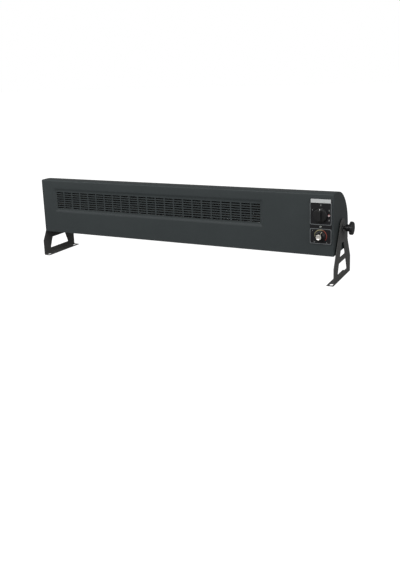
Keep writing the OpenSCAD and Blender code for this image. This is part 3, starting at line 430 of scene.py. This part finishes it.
def bar(size, place):
    """A block of the given size at place, with its place in its mesh."""
    bpy.ops.object.select_all(action="DESELECT")
    bpy.ops.mesh.primitive_cube_add(size=1, location=place)
    made = bpy.context.object
    made.scale = size
    bpy.ops.object.transform_apply(location=True, rotation=True, scale=True)
    return made


def cross_screw(length):
    """A screw whose head's underside is at the origin and whose shank runs along +Z."""
    bpy.ops.object.select_all(action="DESELECT")
    bpy.ops.mesh.primitive_cylinder_add(vertices=40, radius=head_r, depth=head_h,
                                        location=(0, 0, -head_h / 2))
    made = bpy.context.object
    bpy.ops.object.transform_apply(location=True, rotation=True, scale=True)
    round_edges(made, head_crown, 5, lambda a, b: max(a.z, b.z) < -0.9 * head_h)
    for size in ((recess_l, recess_w, recess_d), (recess_w, recess_l, recess_d)):
        cut(made, bar(size, (0, 0, -head_h)))
    bpy.ops.object.select_all(action="DESELECT")
    bpy.ops.mesh.primitive_cylinder_add(vertices=24, radius=shank_r, depth=length,
                                        location=(0, 0, length / 2))
    shank = bpy.context.object
    bpy.ops.object.transform_apply(location=True, rotation=True, scale=True)
    round_edges(shank, tip, 1, lambda a, b: min(a.z, b.z) > 0.9 * length)
    cut(made, shank, "UNION")
    ease(made, screw_edge, steps=1)
    return made


def set_screws(name, length, turns, finish, slot, node):
    """Copies one screw to every place and turn, as one piece that stands for node."""
    first = cross_screw(length)
    copies = []
    for turn in turns:
        copy = bpy.data.objects.new(name, first.data.copy())
        bpy.context.scene.collection.objects.link(copy)
        copy.data.transform(turn)
        copies.append(copy)
    bpy.data.objects.remove(first)
    picked_piece(copies[0])
    for copy in copies[1:]:
        copy.select_set(True)
    if len(copies) > 1:
        bpy.ops.object.join()
    joined = bpy.context.view_layer.objects.active
    joined.name = name
    fit(joined, finish, slot, "housing", node)


def worked_metal(name, tone, rough, grain, stretch=(1, 1, 1), depth=0.01 * mm, spread=0.12):
    """Bare metal with the marks of its working, grain metres apart and drawn out by stretch."""
    finish = Finish(name)
    marks = finish.noise(grain, 3.0, stretch)
    clouds = finish.noise(30 * mm)
    finish.surface(
        Base_Color=(0.6 * marks + 0.4 * clouds).mixed(
            linear(*tone, 1 - spread), linear(*tone, 1 + spread)),
        Metallic=1.0,
        Roughness=(rough - 0.08) + 0.16 * marks,
    )
    finish.bumps(marks, depth)
    return finish.material


black_steel = worked_metal("black_screw", (58, 58, 60), 0.42, 0.5 * mm)
plated_screw = worked_metal("plated_screw", (150, 152, 148), 0.40, 0.5 * mm)
seam_y = -34.5 * mm
seam_x = (-474.5, -237.25, 0, 237.25, 474.5)
seam_screw_l = 6.6 * mm
under_z = 82 * mm
set_screws("underside_screws", seam_screw_l,
           [Matrix.Translation((x * mm, seam_y, under_z)) for x in seam_x],
           black_steel, "black_screw", "seam_screws")
cap_screw_x = 494.5 * mm
cap_screw_y = (-17.5 * mm, 50.5 * mm)
cap_screw_z = (102 * mm, 138 * mm)
short_screw_l = 5.7 * mm
cap_turns = []
for x in (-cap_screw_x, cap_screw_x):
    for y in cap_screw_y:
        cap_turns.append(Matrix.Translation((x, y, under_z)))
    for z in cap_screw_z:
        cap_turns.append(
            Matrix.Translation((x, back_y, z)) @ Matrix.Rotation(math.pi / 2, 4, "X"))
set_screws("end_screws", short_screw_l, cap_turns, black_steel, "black_screw", "cap_screws")

# Cable inlet: a black moulded bushing with a hexagon nut inside, where the supply cable
# would enter. Its flange and mouth are rounded in the mould.


def moulding(name, tone, rough, grain, depth=0.01 * mm, gloss=0.3, spread=0.15):
    """Moulded or pressed material with a fine skin and soft clouds of tone."""
    finish = Finish(name)
    skin = finish.noise(grain, 2.0)
    clouds = finish.noise(20 * mm)
    finish.surface(
        Base_Color=(0.5 * skin + 0.5 * clouds).mixed(
            linear(*tone, 1 - spread), linear(*tone, 1 + spread)),
        Roughness=(rough - 0.06) + 0.12 * skin,
        Specular_IOR_Level=gloss,
    )
    finish.bumps(skin, depth)
    return finish.material


black_plastic = moulding("black_plastic", (24, 24, 25), 0.42, 0.8 * mm, gloss=0.35)
gland = whole_copy("cable_gland", "cable_bushing")
ease(gland, 0.5 * mm, steps=3, sharp=40)
fit(gland, black_plastic, "black_plastic", "housing", "cable_gland")


# Air path behind the slots: two bulkheads, the curved scroll and the cut-off, all of
# zinc-coated sheet with its crystal pattern, spot-welded and left unpainted. The cut-off's
# sheet is given a near-white tone in broad patches and little metal, a painted highlight,
# so that its lip shows pale in the lowest row of slots.


def dress(finish, *nodes):
    """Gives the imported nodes, which stay as they are, their material."""
    for node in nodes:
        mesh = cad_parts[node].data
        mesh.materials.clear()
        mesh.materials.append(finish)


def zinc_coat(name, tone, crystal_w=7 * mm, metallic=1.0, spread=0.18):
    """Hot-dipped sheet: crystals of differing gloss and tone, and fine rolling marks."""
    finish = Finish(name)
    crystal = finish.shade.node(
        "ShaderNodeSeparateColor", {},
        {"Color": finish.shade.node("ShaderNodeTexVoronoi", {},
                                    {"Vector": finish.place, "Scale": 1 / crystal_w}, "Color")})
    rolled = finish.noise(1.5 * mm, 2.0, (0.05, 1, 1))
    finish.surface(
        Base_Color=(0.7 * crystal + 0.3 * rolled).mixed(
            linear(*tone, 1 - spread), linear(*tone, 1.12)),
        Metallic=metallic,
        Roughness=0.30 + 0.18 * crystal + 0.06 * rolled,
    )
    finish.bumps(0.5 * crystal + 0.5 * rolled, 0.01 * mm)
    return finish.material


zinc_sheet = zinc_coat("zinc_sheet", (170, 172, 173))
dress(zinc_sheet, "left_bulkhead", "right_bulkhead", "air_scroll", "bearing_cup")
# The cut-off's near-white, barely metallic zinc is a painted highlight for the pale light in the
# lowest row of slots.
highlight_painted_zinc = zinc_coat("highlight_painted_zinc", (243, 243, 242), crystal_w=24 * mm, metallic=0.15,
                        spread=0.6)
dress(highlight_painted_zinc, "air_cutoff")

# Heating elements: two steel tubes with pressed-on fins, scaled dark by the heat with faint
# straw and blue in it, held in unglazed ceramic bushings where they pass the bulkheads.
element_finish = Finish("element_steel")
bands = element_finish.noise(70 * mm, 2.0, (1, 0.2, 0.2))
scale_marks = element_finish.noise(0.8 * mm, 3.0)
tint = element_finish.shade.node("ShaderNodeValToRGB", {"stops": (
    (0.30, linear(50, 48, 47)), (0.45, linear(58, 52, 44)),
    (0.58, linear(50, 44, 43)), (0.72, linear(42, 44, 50)))}, {"Fac": bands})
element_finish.surface(
    Base_Color=(0.4 * scale_marks).mixed(tint, linear(36, 35, 34)),
    Metallic=0.3,
    Roughness=0.52 + 0.20 * scale_marks,
)
element_finish.bumps(scale_marks, 0.01 * mm)
dress(element_finish.material, "upper_element", "lower_element")
steatite = moulding("ceramic", (226, 221, 208), 0.75, 0.6 * mm, depth=0.03 * mm, gloss=0.2,
                    spread=0.06)
dress(steatite, "element_insulators")

# Thermal cut-out on the duct's roof: a phenolic body under a metal cap, with two tags. It
# is one solid, so cap and tags share the body's dull brown.
cutout_finish = moulding("cutout_phenolic", (122, 92, 52), 0.5, 0.7 * mm)
dress(cutout_finish, "thermal_cutout")

# Blower: a long wheel of curved aluminium blades between ring discs, on a ground shaft,
# with a sintered bronze bearing in a rubber ring at the far end.
wheel_alloy = worked_metal("wheel_alloy", (172, 174, 176), 0.38, 1.2 * mm, (0.08, 1, 1))
dress(wheel_alloy, "blower_wheel")
shaft_steel = worked_metal("shaft_steel", (218, 219, 220), 0.22, 0.35 * mm, (1, 0.02, 0.02))
dress(shaft_steel, "stub_shaft", "motor_shaft", "selector_spindle", "thermostat_spindle")
bronze = worked_metal("bronze", (178, 148, 104), 0.5, 0.25 * mm, depth=0.02 * mm)
dress(bronze, "end_bearing")
rubber = moulding("rubber_black", (33, 33, 33), 0.7, 0.5 * mm, depth=0.02 * mm, gloss=0.25)
dress(rubber, "bearing_rubber")

# Motor: die-cast end shields round a stack of varnished laminations, copper windings, a
# squirrel-cage rotor and four long plated bolts. Three turned brass posts carry it.
cast_shield = worked_metal("cast_shield", (184, 186, 187), 0.5, 1.4 * mm, depth=0.06 * mm)
dress(cast_shield, "motor_front_shield", "motor_rear_shield")
lamination = worked_metal("lamination", (132, 135, 137), 0.42, 0.5 * mm, (1, 0.01, 0.01),
                          depth=0.08 * mm, spread=0.3)
dress(lamination, "motor_stator", "motor_rotor")
copper_finish = Finish("copper")
turns = copper_finish.noise(0.5 * mm, 1.0, (0.1, 1, 1))
copper_finish.surface(
    Base_Color=turns.mixed(linear(176, 100, 52), linear(214, 140, 82)),
    Metallic=0.9,
    Roughness=0.30 + 0.15 * turns,
    Coat_Weight=0.4,
)
copper_finish.bumps(turns, 0.2 * mm)
dress(copper_finish.material, "motor_windings")
zinc_steel = worked_metal("zinc_steel", (212, 213, 212), 0.3, 0.6 * mm)
dress(zinc_steel, "motor_bolts", "left_clamp_nut", "right_clamp_nut")
brass = worked_metal("spacer_brass", (220, 202, 142), 0.28, 0.35 * mm, (1, 0.02, 0.02))
dress(brass, "motor_spacers")

# Behind the control plate: the cream selector switch, the thermostat with its copper
# capillary that runs to a bulb in the intake, and the terminal block by the inlet.
switch_cream = moulding("switch_cream", (222, 218, 205), 0.45, 0.9 * mm, spread=0.06)
dress(switch_cream, "selector_switch", "thermostat_body", "terminal_block")
capillary = worked_metal("capillary_copper", (206, 150, 104), 0.35, 0.8 * mm)
dress(capillary, "sensor_capillary")


# Control plate: one black moulding on the casing's front, with two satin black face plates
# in raised grey frames, and a bare pale strip that closes the upper frame at its top.
panel_black = moulding("panel_black", (24, 24, 26), 0.5, 0.6 * mm, depth=0.008 * mm, gloss=0.22)
bezel_grey = moulding("bezel_grey", (92, 95, 97), 0.45, 0.7 * mm, depth=0.008 * mm, gloss=0.35)
label_pale = moulding("label_pale", (186, 188, 188), 0.4, 1.5 * mm, depth=0.004 * mm, gloss=0.4,
                      spread=0.03)
for node, name, edge, finish, slot in (
    ("control_base", "control_plate", 0.4 * mm, panel_black, "panel_black"),
    ("upper_plate", "upper_face", 0.15 * mm, panel_black, "panel_black"),
    ("lower_plate", "lower_face", 0.15 * mm, panel_black, "panel_black"),
    ("upper_bezel", "upper_frame", 0.7 * mm, bezel_grey, "bezel_grey"),
    ("lower_bezel", "lower_frame", 0.7 * mm, bezel_grey, "bezel_grey"),
    ("label_strip", "pale_strip", 0.35 * mm, label_pale, "label_pale"),
):
    moulded = whole_copy(node, name)
    ease(moulded, edge, steps=3, sharp=40)
    fit(moulded, finish, slot, "housing", node)
control_x = 463.25 * mm
selector_z = 197.5 * mm
dial_z = 139 * mm
plate_screw_place = (control_x, -72 * mm, 164.5 * mm)
set_screws("plate_screw", short_screw_l,
           [Matrix.Translation(plate_screw_place) @ Matrix.Rotation(-math.pi / 2, 4, "X")],
           plated_screw, "zinc_steel", "fascia_screw")

# Printing on the face plates: the selector's four steps and the dial's three figures in pale
# ink, and round the dial a band that swells as it runs from straw yellow to red.
face_y = -73 * mm
ink_h = 0.05 * mm


def figures(name, marks, finish):
    """Printed figures: each mark is its figure, its place along X and Z, and its height."""
    prints = []
    for figure, x, z, height in marks:
        bpy.ops.object.select_all(action="DESELECT")
        bpy.ops.object.text_add(location=(0, 0, 0))
        ink = bpy.context.object
        ink.data.body = figure
        ink.data.size = height
        ink.data.align_x = "CENTER"
        ink.data.align_y = "CENTER"
        ink.data.extrude = ink_h / 2
        bpy.ops.object.convert(target="MESH")
        ink.data.transform(Matrix.Translation((x, face_y - ink_h / 2, z))
                           @ Matrix.Rotation(math.pi / 2, 4, "X"))
        prints.append(ink)
    picked_piece(prints[0])
    for ink in prints[1:]:
        ink.select_set(True)
    bpy.ops.object.join()
    prints[0].name = name
    fit(prints[0], finish, "label_pale", "housing")


def around(z, degrees, radius):
    """The place at radius from a control's axis, degrees clockwise from its top."""
    turn = math.radians(degrees)
    return control_x + radius * math.sin(turn), z + radius * math.cos(turn)


pale_ink = moulding("pale_ink", (176, 178, 176), 0.5, 0.4 * mm, depth=0.003 * mm, gloss=0.3,
                    spread=0.08)
step_turns = (0, -60, 60, 120)
step_r = 27.4 * mm
step_h = 6.2 * mm
dial_marks = (("0", -135, 25.4 * mm), ("1", -59, 26.8 * mm), ("6", 136, 25.2 * mm))
dial_h = 4.6 * mm
figures("selector_figures",
        [(str(step), *around(selector_z, degrees, step_r), step_h)
         for step, degrees in enumerate(step_turns)],
        pale_ink)
figures("dial_figures",
        [(figure, *around(dial_z, degrees, place_r), dial_h)
         for figure, degrees, place_r in dial_marks],
        pale_ink)
scale_r = 17.0 * mm
scale_w = 2.0 * mm
scale_start, scale_end = -100, 130
scale_steps = 60
swell_start, swell_gain = 0.6, 0.8
bpy.ops.object.select_all(action="DESELECT")
bpy.ops.mesh.primitive_plane_add(size=scale_w, location=(0, 0, 0))
dial_scale = bpy.context.object
dial_scale.name = "dial_scale"
start_x, start_z = around(dial_z, scale_start, scale_r)
dial_scale.data.transform(
    Matrix.Translation((start_x, face_y - ink_h, start_z))
    @ Matrix.Rotation(math.radians(scale_start), 4, "Y") @ Matrix.Rotation(math.pi / 2, 4, "X"))
picked_piece(dial_scale)
middle = sum((v.co for v in dial_scale.data.vertices), Vector()) / 4
outward = (middle - Vector((control_x, middle.y, dial_z))).normalized()
tangent = outward.cross(Vector((0, 1, 0)))
for vertex in dial_scale.data.vertices:
    vertex.co = vertex.co - tangent * (vertex.co - middle).dot(tangent) * 0.98
bpy.ops.object.mode_set(mode="EDIT")
bpy.ops.mesh.select_mode(type="VERT")
bpy.ops.mesh.select_all(action="DESELECT")
bpy.ops.object.mode_set(mode="OBJECT")
for vertex in dial_scale.data.vertices:
    vertex.select = (vertex.co - middle).dot(tangent) > 0
bpy.ops.object.mode_set(mode="EDIT")
bpy.ops.mesh.delete(type="VERT")
bpy.ops.mesh.select_all(action="SELECT")
bpy.ops.mesh.spin(steps=scale_steps, angle=math.radians(scale_end - scale_start),
                  center=(control_x, face_y - ink_h, dial_z), axis=(0, -1, 0))
bpy.ops.mesh.select_all(action="SELECT")
bpy.ops.mesh.extrude_region_move(TRANSFORM_OT_translate={"value": (0, ink_h, 0)})
bpy.ops.mesh.select_all(action="SELECT")
bpy.ops.mesh.normals_make_consistent(inside=False)
bpy.ops.object.mode_set(mode="OBJECT")
for vertex in dial_scale.data.vertices:
    outward = Vector((vertex.co.x - control_x, 0, vertex.co.z - dial_z))
    turn = math.degrees(math.atan2(outward.x, outward.z))
    swell = swell_start + swell_gain * (turn - scale_start) / (scale_end - scale_start)
    place = scale_r + swell * (outward.length - scale_r)
    vertex.co += outward.normalized() * (place - outward.length)
scale_finish = Finish("dial_ink")
turned = scale_finish.shade.maths("ARCTAN2", scale_finish.along("X") - control_x,
                                  scale_finish.along("Z") - dial_z)
ink = scale_finish.shade.node("ShaderNodeValToRGB", {"stops": (
    (0.0, linear(120, 118, 88)), (0.42, linear(176, 166, 126)),
    (0.58, linear(140, 70, 56)), (1.0, linear(112, 30, 28)))},
    {"Fac": turned.clamped(math.radians(scale_start), math.radians(scale_end))})
grain = scale_finish.noise(0.4 * mm)
scale_finish.surface(Base_Color=(0.25 * grain).mixed(ink, linear(60, 56, 50)), Roughness=0.5,
                     Specular_IOR_Level=0.3)
fit(dial_scale, scale_finish.material, "label_pale", "housing")

# Pilot lamp: a low domed lens of translucent red moulding, pushed in from the front. Its
# lower part is painted near white with a ragged edge, a painted highlight.
lens_top_z = 200.6 * mm
lens_low_z = 196.8 * mm
lens_finish = Finish("lens_red")
facets = lens_finish.noise(0.9 * mm, 1.0)
# Red at the top, near white below: the white is a painted highlight.
painted_highlight_share = (lens_finish.along("Z") + 1.2 * mm * facets).clamped(lens_top_z, lens_low_z)
lens_finish.surface(
    Base_Color=painted_highlight_share.mixed(linear(116, 40, 40), linear(216, 200, 200)),
    Roughness=0.12 + 0.10 * facets,
    Specular_IOR_Level=0.6,
    Coat_Weight=0.6,
)
lens_finish.bumps(facets, 0.05 * mm)
dress(lens_finish.material, "pilot_lamp")

# Selector knob: a black disc with a rounded rim and a waisted grip across its face, turned
# on its spindle. A white point is inlaid in the disc at the grip's upper end.
knob_back = -74 * mm
disc_r = 19 * mm
disc_t = 8 * mm
grip_h = 8 * mm
grip_l = 29.5 * mm
grip_w = 11 * mm
grip_corner_r = 2.6 * mm
front_share_x, front_share_z = 0.80, 0.93
waist_r = 60 * mm
waist_bite = 1.3 * mm
rim_front_r = 1.8 * mm
rim_back_r = 0.5 * mm
bore_r = 3 * mm
point_r = 1.4 * mm
point_t = 0.6 * mm
point_up = 16.4 * mm


def drum(radius, depth, place, sides=96):
    """A cylinder along Y whose back is at place and whose front is depth nearer the front."""
    bpy.ops.object.select_all(action="DESELECT")
    x, y, z = place
    bpy.ops.mesh.primitive_cylinder_add(vertices=sides, radius=radius, depth=depth,
                                        location=(x, y - depth / 2, z),
                                        rotation=(math.pi / 2, 0, 0))
    made = bpy.context.object
    bpy.ops.object.transform_apply(location=True, rotation=True, scale=True)
    return made


disc_front = knob_back - disc_t
selector_knob = drum(disc_r, disc_t, (control_x, knob_back, selector_z))
selector_knob.name = "selector_handle"
round_edges(selector_knob, rim_front_r, 5, lambda a, b: max(a.y, b.y) < disc_front + near)
round_edges(selector_knob, rim_back_r, 2, lambda a, b: min(a.y, b.y) > knob_back - near)
grip = bar((grip_w, grip_h + 2 * mm, grip_l),
           (control_x, disc_front - grip_h / 2 + mm, selector_z))
for vertex in grip.data.vertices:
    if vertex.co.y < disc_front:
        vertex.co.x = control_x + front_share_x * (vertex.co.x - control_x)
        vertex.co.z = selector_z + front_share_z * (vertex.co.z - selector_z)
round_edges(grip, grip_corner_r, 5, lambda a, b: abs(a.y - b.y) > grip_h)
for side in (-1, 1):
    hollow = drum(waist_r, 3 * grip_h,
                  (control_x + side * (grip_w / 2 - waist_bite + waist_r),
                   disc_front + grip_h, selector_z))
    cut(grip, hollow)
cut(selector_knob, grip, "UNION")
cut(selector_knob, drum(bore_r, 11 * mm, (control_x, knob_back + near, selector_z), 32))
ease(selector_knob, 0.7 * mm, steps=3, sharp=40)
fit(selector_knob, black_plastic, "black_plastic", "selector", "selector_knob")
point = drum(point_r, point_t,
             (control_x, disc_front + point_t / 2, selector_z + point_up), 32)
point.name = "selector_point"
ease(point, 0.15 * mm, sharp=40)
white_ink = moulding("white_point", (225, 226, 224), 0.45, 0.5 * mm, depth=0.004 * mm, gloss=0.4,
                     spread=0.04)
fit(point, white_ink, "label_pale", "selector")

# Thermostat knob: a flared skirt and a fluted stem with a pointer rib, moulded in one, the
# rib filled with cream paint. A spun bright cap closes its front.
stem_h = 18 * mm
skirt_r = 14.5 * mm
stem_r = 8.2 * mm
flutes = 18
flute_d = 0.7 * mm
flute_foot, flute_top = 7 * mm, 17 * mm
pointer_turn = 24
rib_w = 2.2 * mm
line_w = 1.2 * mm


def turned_piece(name, outline, place, steps):
    """Spins an outline of radius and height round a Y axis through place, towards the front."""
    bpy.ops.object.select_all(action="DESELECT")
    bpy.ops.mesh.primitive_circle_add(vertices=len(outline), radius=mm, fill_type="NOTHING")
    made = bpy.context.object
    made.name = name
    x, y, z = place
    for vertex, (radius, height) in zip(made.data.vertices, outline):
        vertex.co = (x + radius, y - height, z)
    bpy.ops.object.mode_set(mode="EDIT")
    bpy.ops.mesh.select_all(action="SELECT")
    bpy.ops.mesh.spin(steps=steps, angle=2 * math.pi, center=place, axis=(0, 1, 0))
    bpy.ops.mesh.select_all(action="SELECT")
    bpy.ops.mesh.remove_doubles(threshold=2 * merge_d)
    bpy.ops.mesh.dissolve_degenerate(threshold=merge_d)
    bpy.ops.mesh.select_all(action="SELECT")
    bpy.ops.mesh.normals_make_consistent(inside=False)
    bpy.ops.object.mode_set(mode="OBJECT")
    return made


skirt_points = [(0, 0), (skirt_r - 0.6 * mm, 0), (skirt_r, 0.6 * mm), (skirt_r, 2.2 * mm),
                (skirt_r - 0.5 * mm, 3.0 * mm), (skirt_r - 1.6 * mm, 3.6 * mm),
                (stem_r + 3.0 * mm, 4.6 * mm), (stem_r + 1.6 * mm, 6.2 * mm),
                (stem_r + 1.0 * mm, 8.5 * mm), (stem_r + 0.3 * mm, 15.5 * mm),
                (stem_r, 17.2 * mm), (stem_r - 0.5 * mm, stem_h), (0, stem_h)]
thermostat = turned_piece("thermostat_handle", skirt_points, (control_x, knob_back, dial_z),
                          4 * flutes)
for vertex in thermostat.data.vertices:
    outward = Vector((vertex.co.x - control_x, 0, vertex.co.z - dial_z))
    height = knob_back - vertex.co.y
    if flute_foot < height < flute_top and outward.length > stem_r - mm:
        turn = math.degrees(math.atan2(outward.x, outward.z)) % (360 / flutes)
        share = 0.5 - 0.5 * math.cos(math.radians(turn * flutes))
        vertex.co -= outward.normalized() * flute_d * share
rib_outline = ((stem_r - 2 * mm, 4 * mm), (skirt_r - 1.2 * mm, 2.6 * mm),
               (skirt_r - 1.2 * mm, 4.8 * mm), (stem_r + 0.7 * mm, 16.6 * mm),
               (stem_r - 2 * mm, 16.6 * mm))


def pointer_rib(name, outline, width):
    """A flat rib with the outline of radius and height, standing on the knob at its pointer."""
    bpy.ops.object.select_all(action="DESELECT")
    bpy.ops.mesh.primitive_circle_add(vertices=len(outline), radius=mm, fill_type="NGON")
    made = bpy.context.object
    made.name = name
    for vertex, (radius, height) in zip(made.data.vertices, outline):
        vertex.co = (-width / 2, -height, radius)
    bpy.ops.object.mode_set(mode="EDIT")
    bpy.ops.mesh.select_all(action="SELECT")
    bpy.ops.mesh.extrude_region_move(TRANSFORM_OT_translate={"value": (width, 0, 0)})
    bpy.ops.mesh.select_all(action="SELECT")
    bpy.ops.mesh.normals_make_consistent(inside=False)
    bpy.ops.object.mode_set(mode="OBJECT")
    made.data.transform(Matrix.Translation((control_x, knob_back, dial_z))
                        @ Matrix.Rotation(math.radians(pointer_turn), 4, "Y"))
    return made


cut(thermostat, pointer_rib("rib", rib_outline, rib_w), "UNION")
cut(thermostat, drum(bore_r, 15 * mm, (control_x, knob_back + near, dial_z), 32))
picked_piece(thermostat)
bpy.ops.object.shade_smooth_by_angle(angle=math.radians(40))
fit(thermostat, black_plastic, "black_plastic", "thermostat", "thermostat_knob")
line_outline = ((skirt_r - 1.5 * mm, 4.3 * mm), (skirt_r - 0.9 * mm, 4.9 * mm),
                (stem_r + 1.0 * mm, 16.2 * mm), (stem_r + 0.4 * mm, 15.6 * mm))
pointer_line = pointer_rib("thermostat_line", line_outline, line_w)
cream_ink = moulding("cream_line", (206, 200, 176), 0.5, 0.5 * mm, depth=0.004 * mm, gloss=0.3,
                     spread=0.05)
ease(pointer_line, 0.1 * mm, steps=1, sharp=40)
fit(pointer_line, cream_ink, "label_pale", "thermostat")
cap_r = stem_r - 0.6 * mm
ring_w = 0.16 * mm
cap_points = [(0, 0), (cap_r, 0), (cap_r, 0.7 * mm), (cap_r - 0.25 * mm, 1.1 * mm),
              (cap_r - 0.7 * mm, 1.2 * mm), (cap_r - 1.2 * mm, 1.05 * mm),
              (cap_r - 1.6 * mm, 0.8 * mm), (cap_r - 3.2 * mm, 0.55 * mm),
              (cap_r - 5.2 * mm, 0.45 * mm), (0, 0.42 * mm)]
bright_cap = turned_piece("bright_disc", cap_points,
                          (control_x, knob_back - stem_h, dial_z), 64)
picked_piece(bright_cap)
bpy.ops.object.shade_smooth_by_angle(angle=math.radians(50))
spun = Finish("bright_cap")
centred = spun.shade.node("ShaderNodeVectorMath", {"operation": "SUBTRACT"},
                          {0: spun.place, 1: (control_x, 0, dial_z)})
flat = spun.shade.node("ShaderNodeVectorMath", {"operation": "MULTIPLY"},
                       {0: centred, 1: (1, 0, 1)})
radius = spun.shade.node("ShaderNodeVectorMath", {"operation": "LENGTH"}, {0: flat}, "Value")
rings = spun.shade.node("ShaderNodeTexNoise", {"noise_dimensions": "1D"},
                        {"W": radius, "Scale": 1 / ring_w, "Detail": 1.0})
spun.surface(
    Base_Color=rings.mixed(linear(238, 232, 222), linear(250, 246, 238)),
    Metallic=0.8,
    Roughness=0.22 + 0.12 * rings,
)
spun.bumps(rings, 0.01 * mm)
fit(bright_cap, spun.material, "bright_cap", "thermostat", "thermostat_cap")


# Stand: two brackets of flat steel strip with two windows each and a foot bent inwards.
# They are cut, deburred, bent, and powder-coated dark grey.
bracket_paint = powder_coat("bracket_paint", (73, 73, 72))
for side in ("left", "right"):
    bracket = whole_copy(f"{side}_bracket", f"{side}_stand_bracket")
    ease(bracket, 0.45 * mm, steps=3)
    fit(bracket, bracket_paint, "bracket_paint", "stand", f"{side}_bracket")

# Clamps: on each side a fibre disc between casing and bracket, a dull plated washer outside,
# and a black moulded knob with finger hollows on a threaded stud. The stud's thread is shown
# by rings at its pitch, as bumps and as painted shade that darkens the grooves.
thread_pitch = 1 * mm
fibre = moulding("friction_fibre", (64, 60, 55), 0.8, 0.5 * mm, depth=0.05 * mm, gloss=0.2,
                 spread=0.3)
dark_washer = worked_metal("washer_steel", (104, 105, 106), 0.42, 0.5 * mm)
stud_finish = Finish("stud_thread")
thread_and_groove_shade = stud_finish.shade.node("ShaderNodeTexWave", {"bands_direction": "X"},
                                {"Vector": stud_finish.place, "Scale": 0.314 / thread_pitch})
# The colour is darker where the rings dip: painted shade in the grooves.
stud_finish.surface(
    Base_Color=thread_and_groove_shade.mixed(linear(150, 151, 150), linear(214, 215, 214)),
    Metallic=1.0,
    Roughness=0.28 + 0.12 * thread_and_groove_shade,
)
stud_finish.bumps(thread_and_groove_shade, 0.3 * mm)
for side in ("left", "right"):
    disc = whole_copy(f"{side}_friction_disc", f"{side}_fibre_disc")
    ease(disc, 0.3 * mm, sharp=40)
    fit(disc, fibre, "friction_fibre", "housing", f"{side}_friction_disc")
    washer = whole_copy(f"{side}_clamp_washer", f"{side}_washer_ring")
    ease(washer, 0.3 * mm, sharp=40)
    fit(washer, dark_washer, "zinc_steel", f"{side}_washer", f"{side}_clamp_washer")
    knob = whole_copy(f"{side}_clamp_knob", f"{side}_clamp_handle")
    ease(knob, 0.3 * mm, sharp=55)
    fit(knob, black_plastic, "black_plastic", f"{side}_clamp", f"{side}_clamp_knob")
    dress(stud_finish.material, f"{side}_clamp_stud")
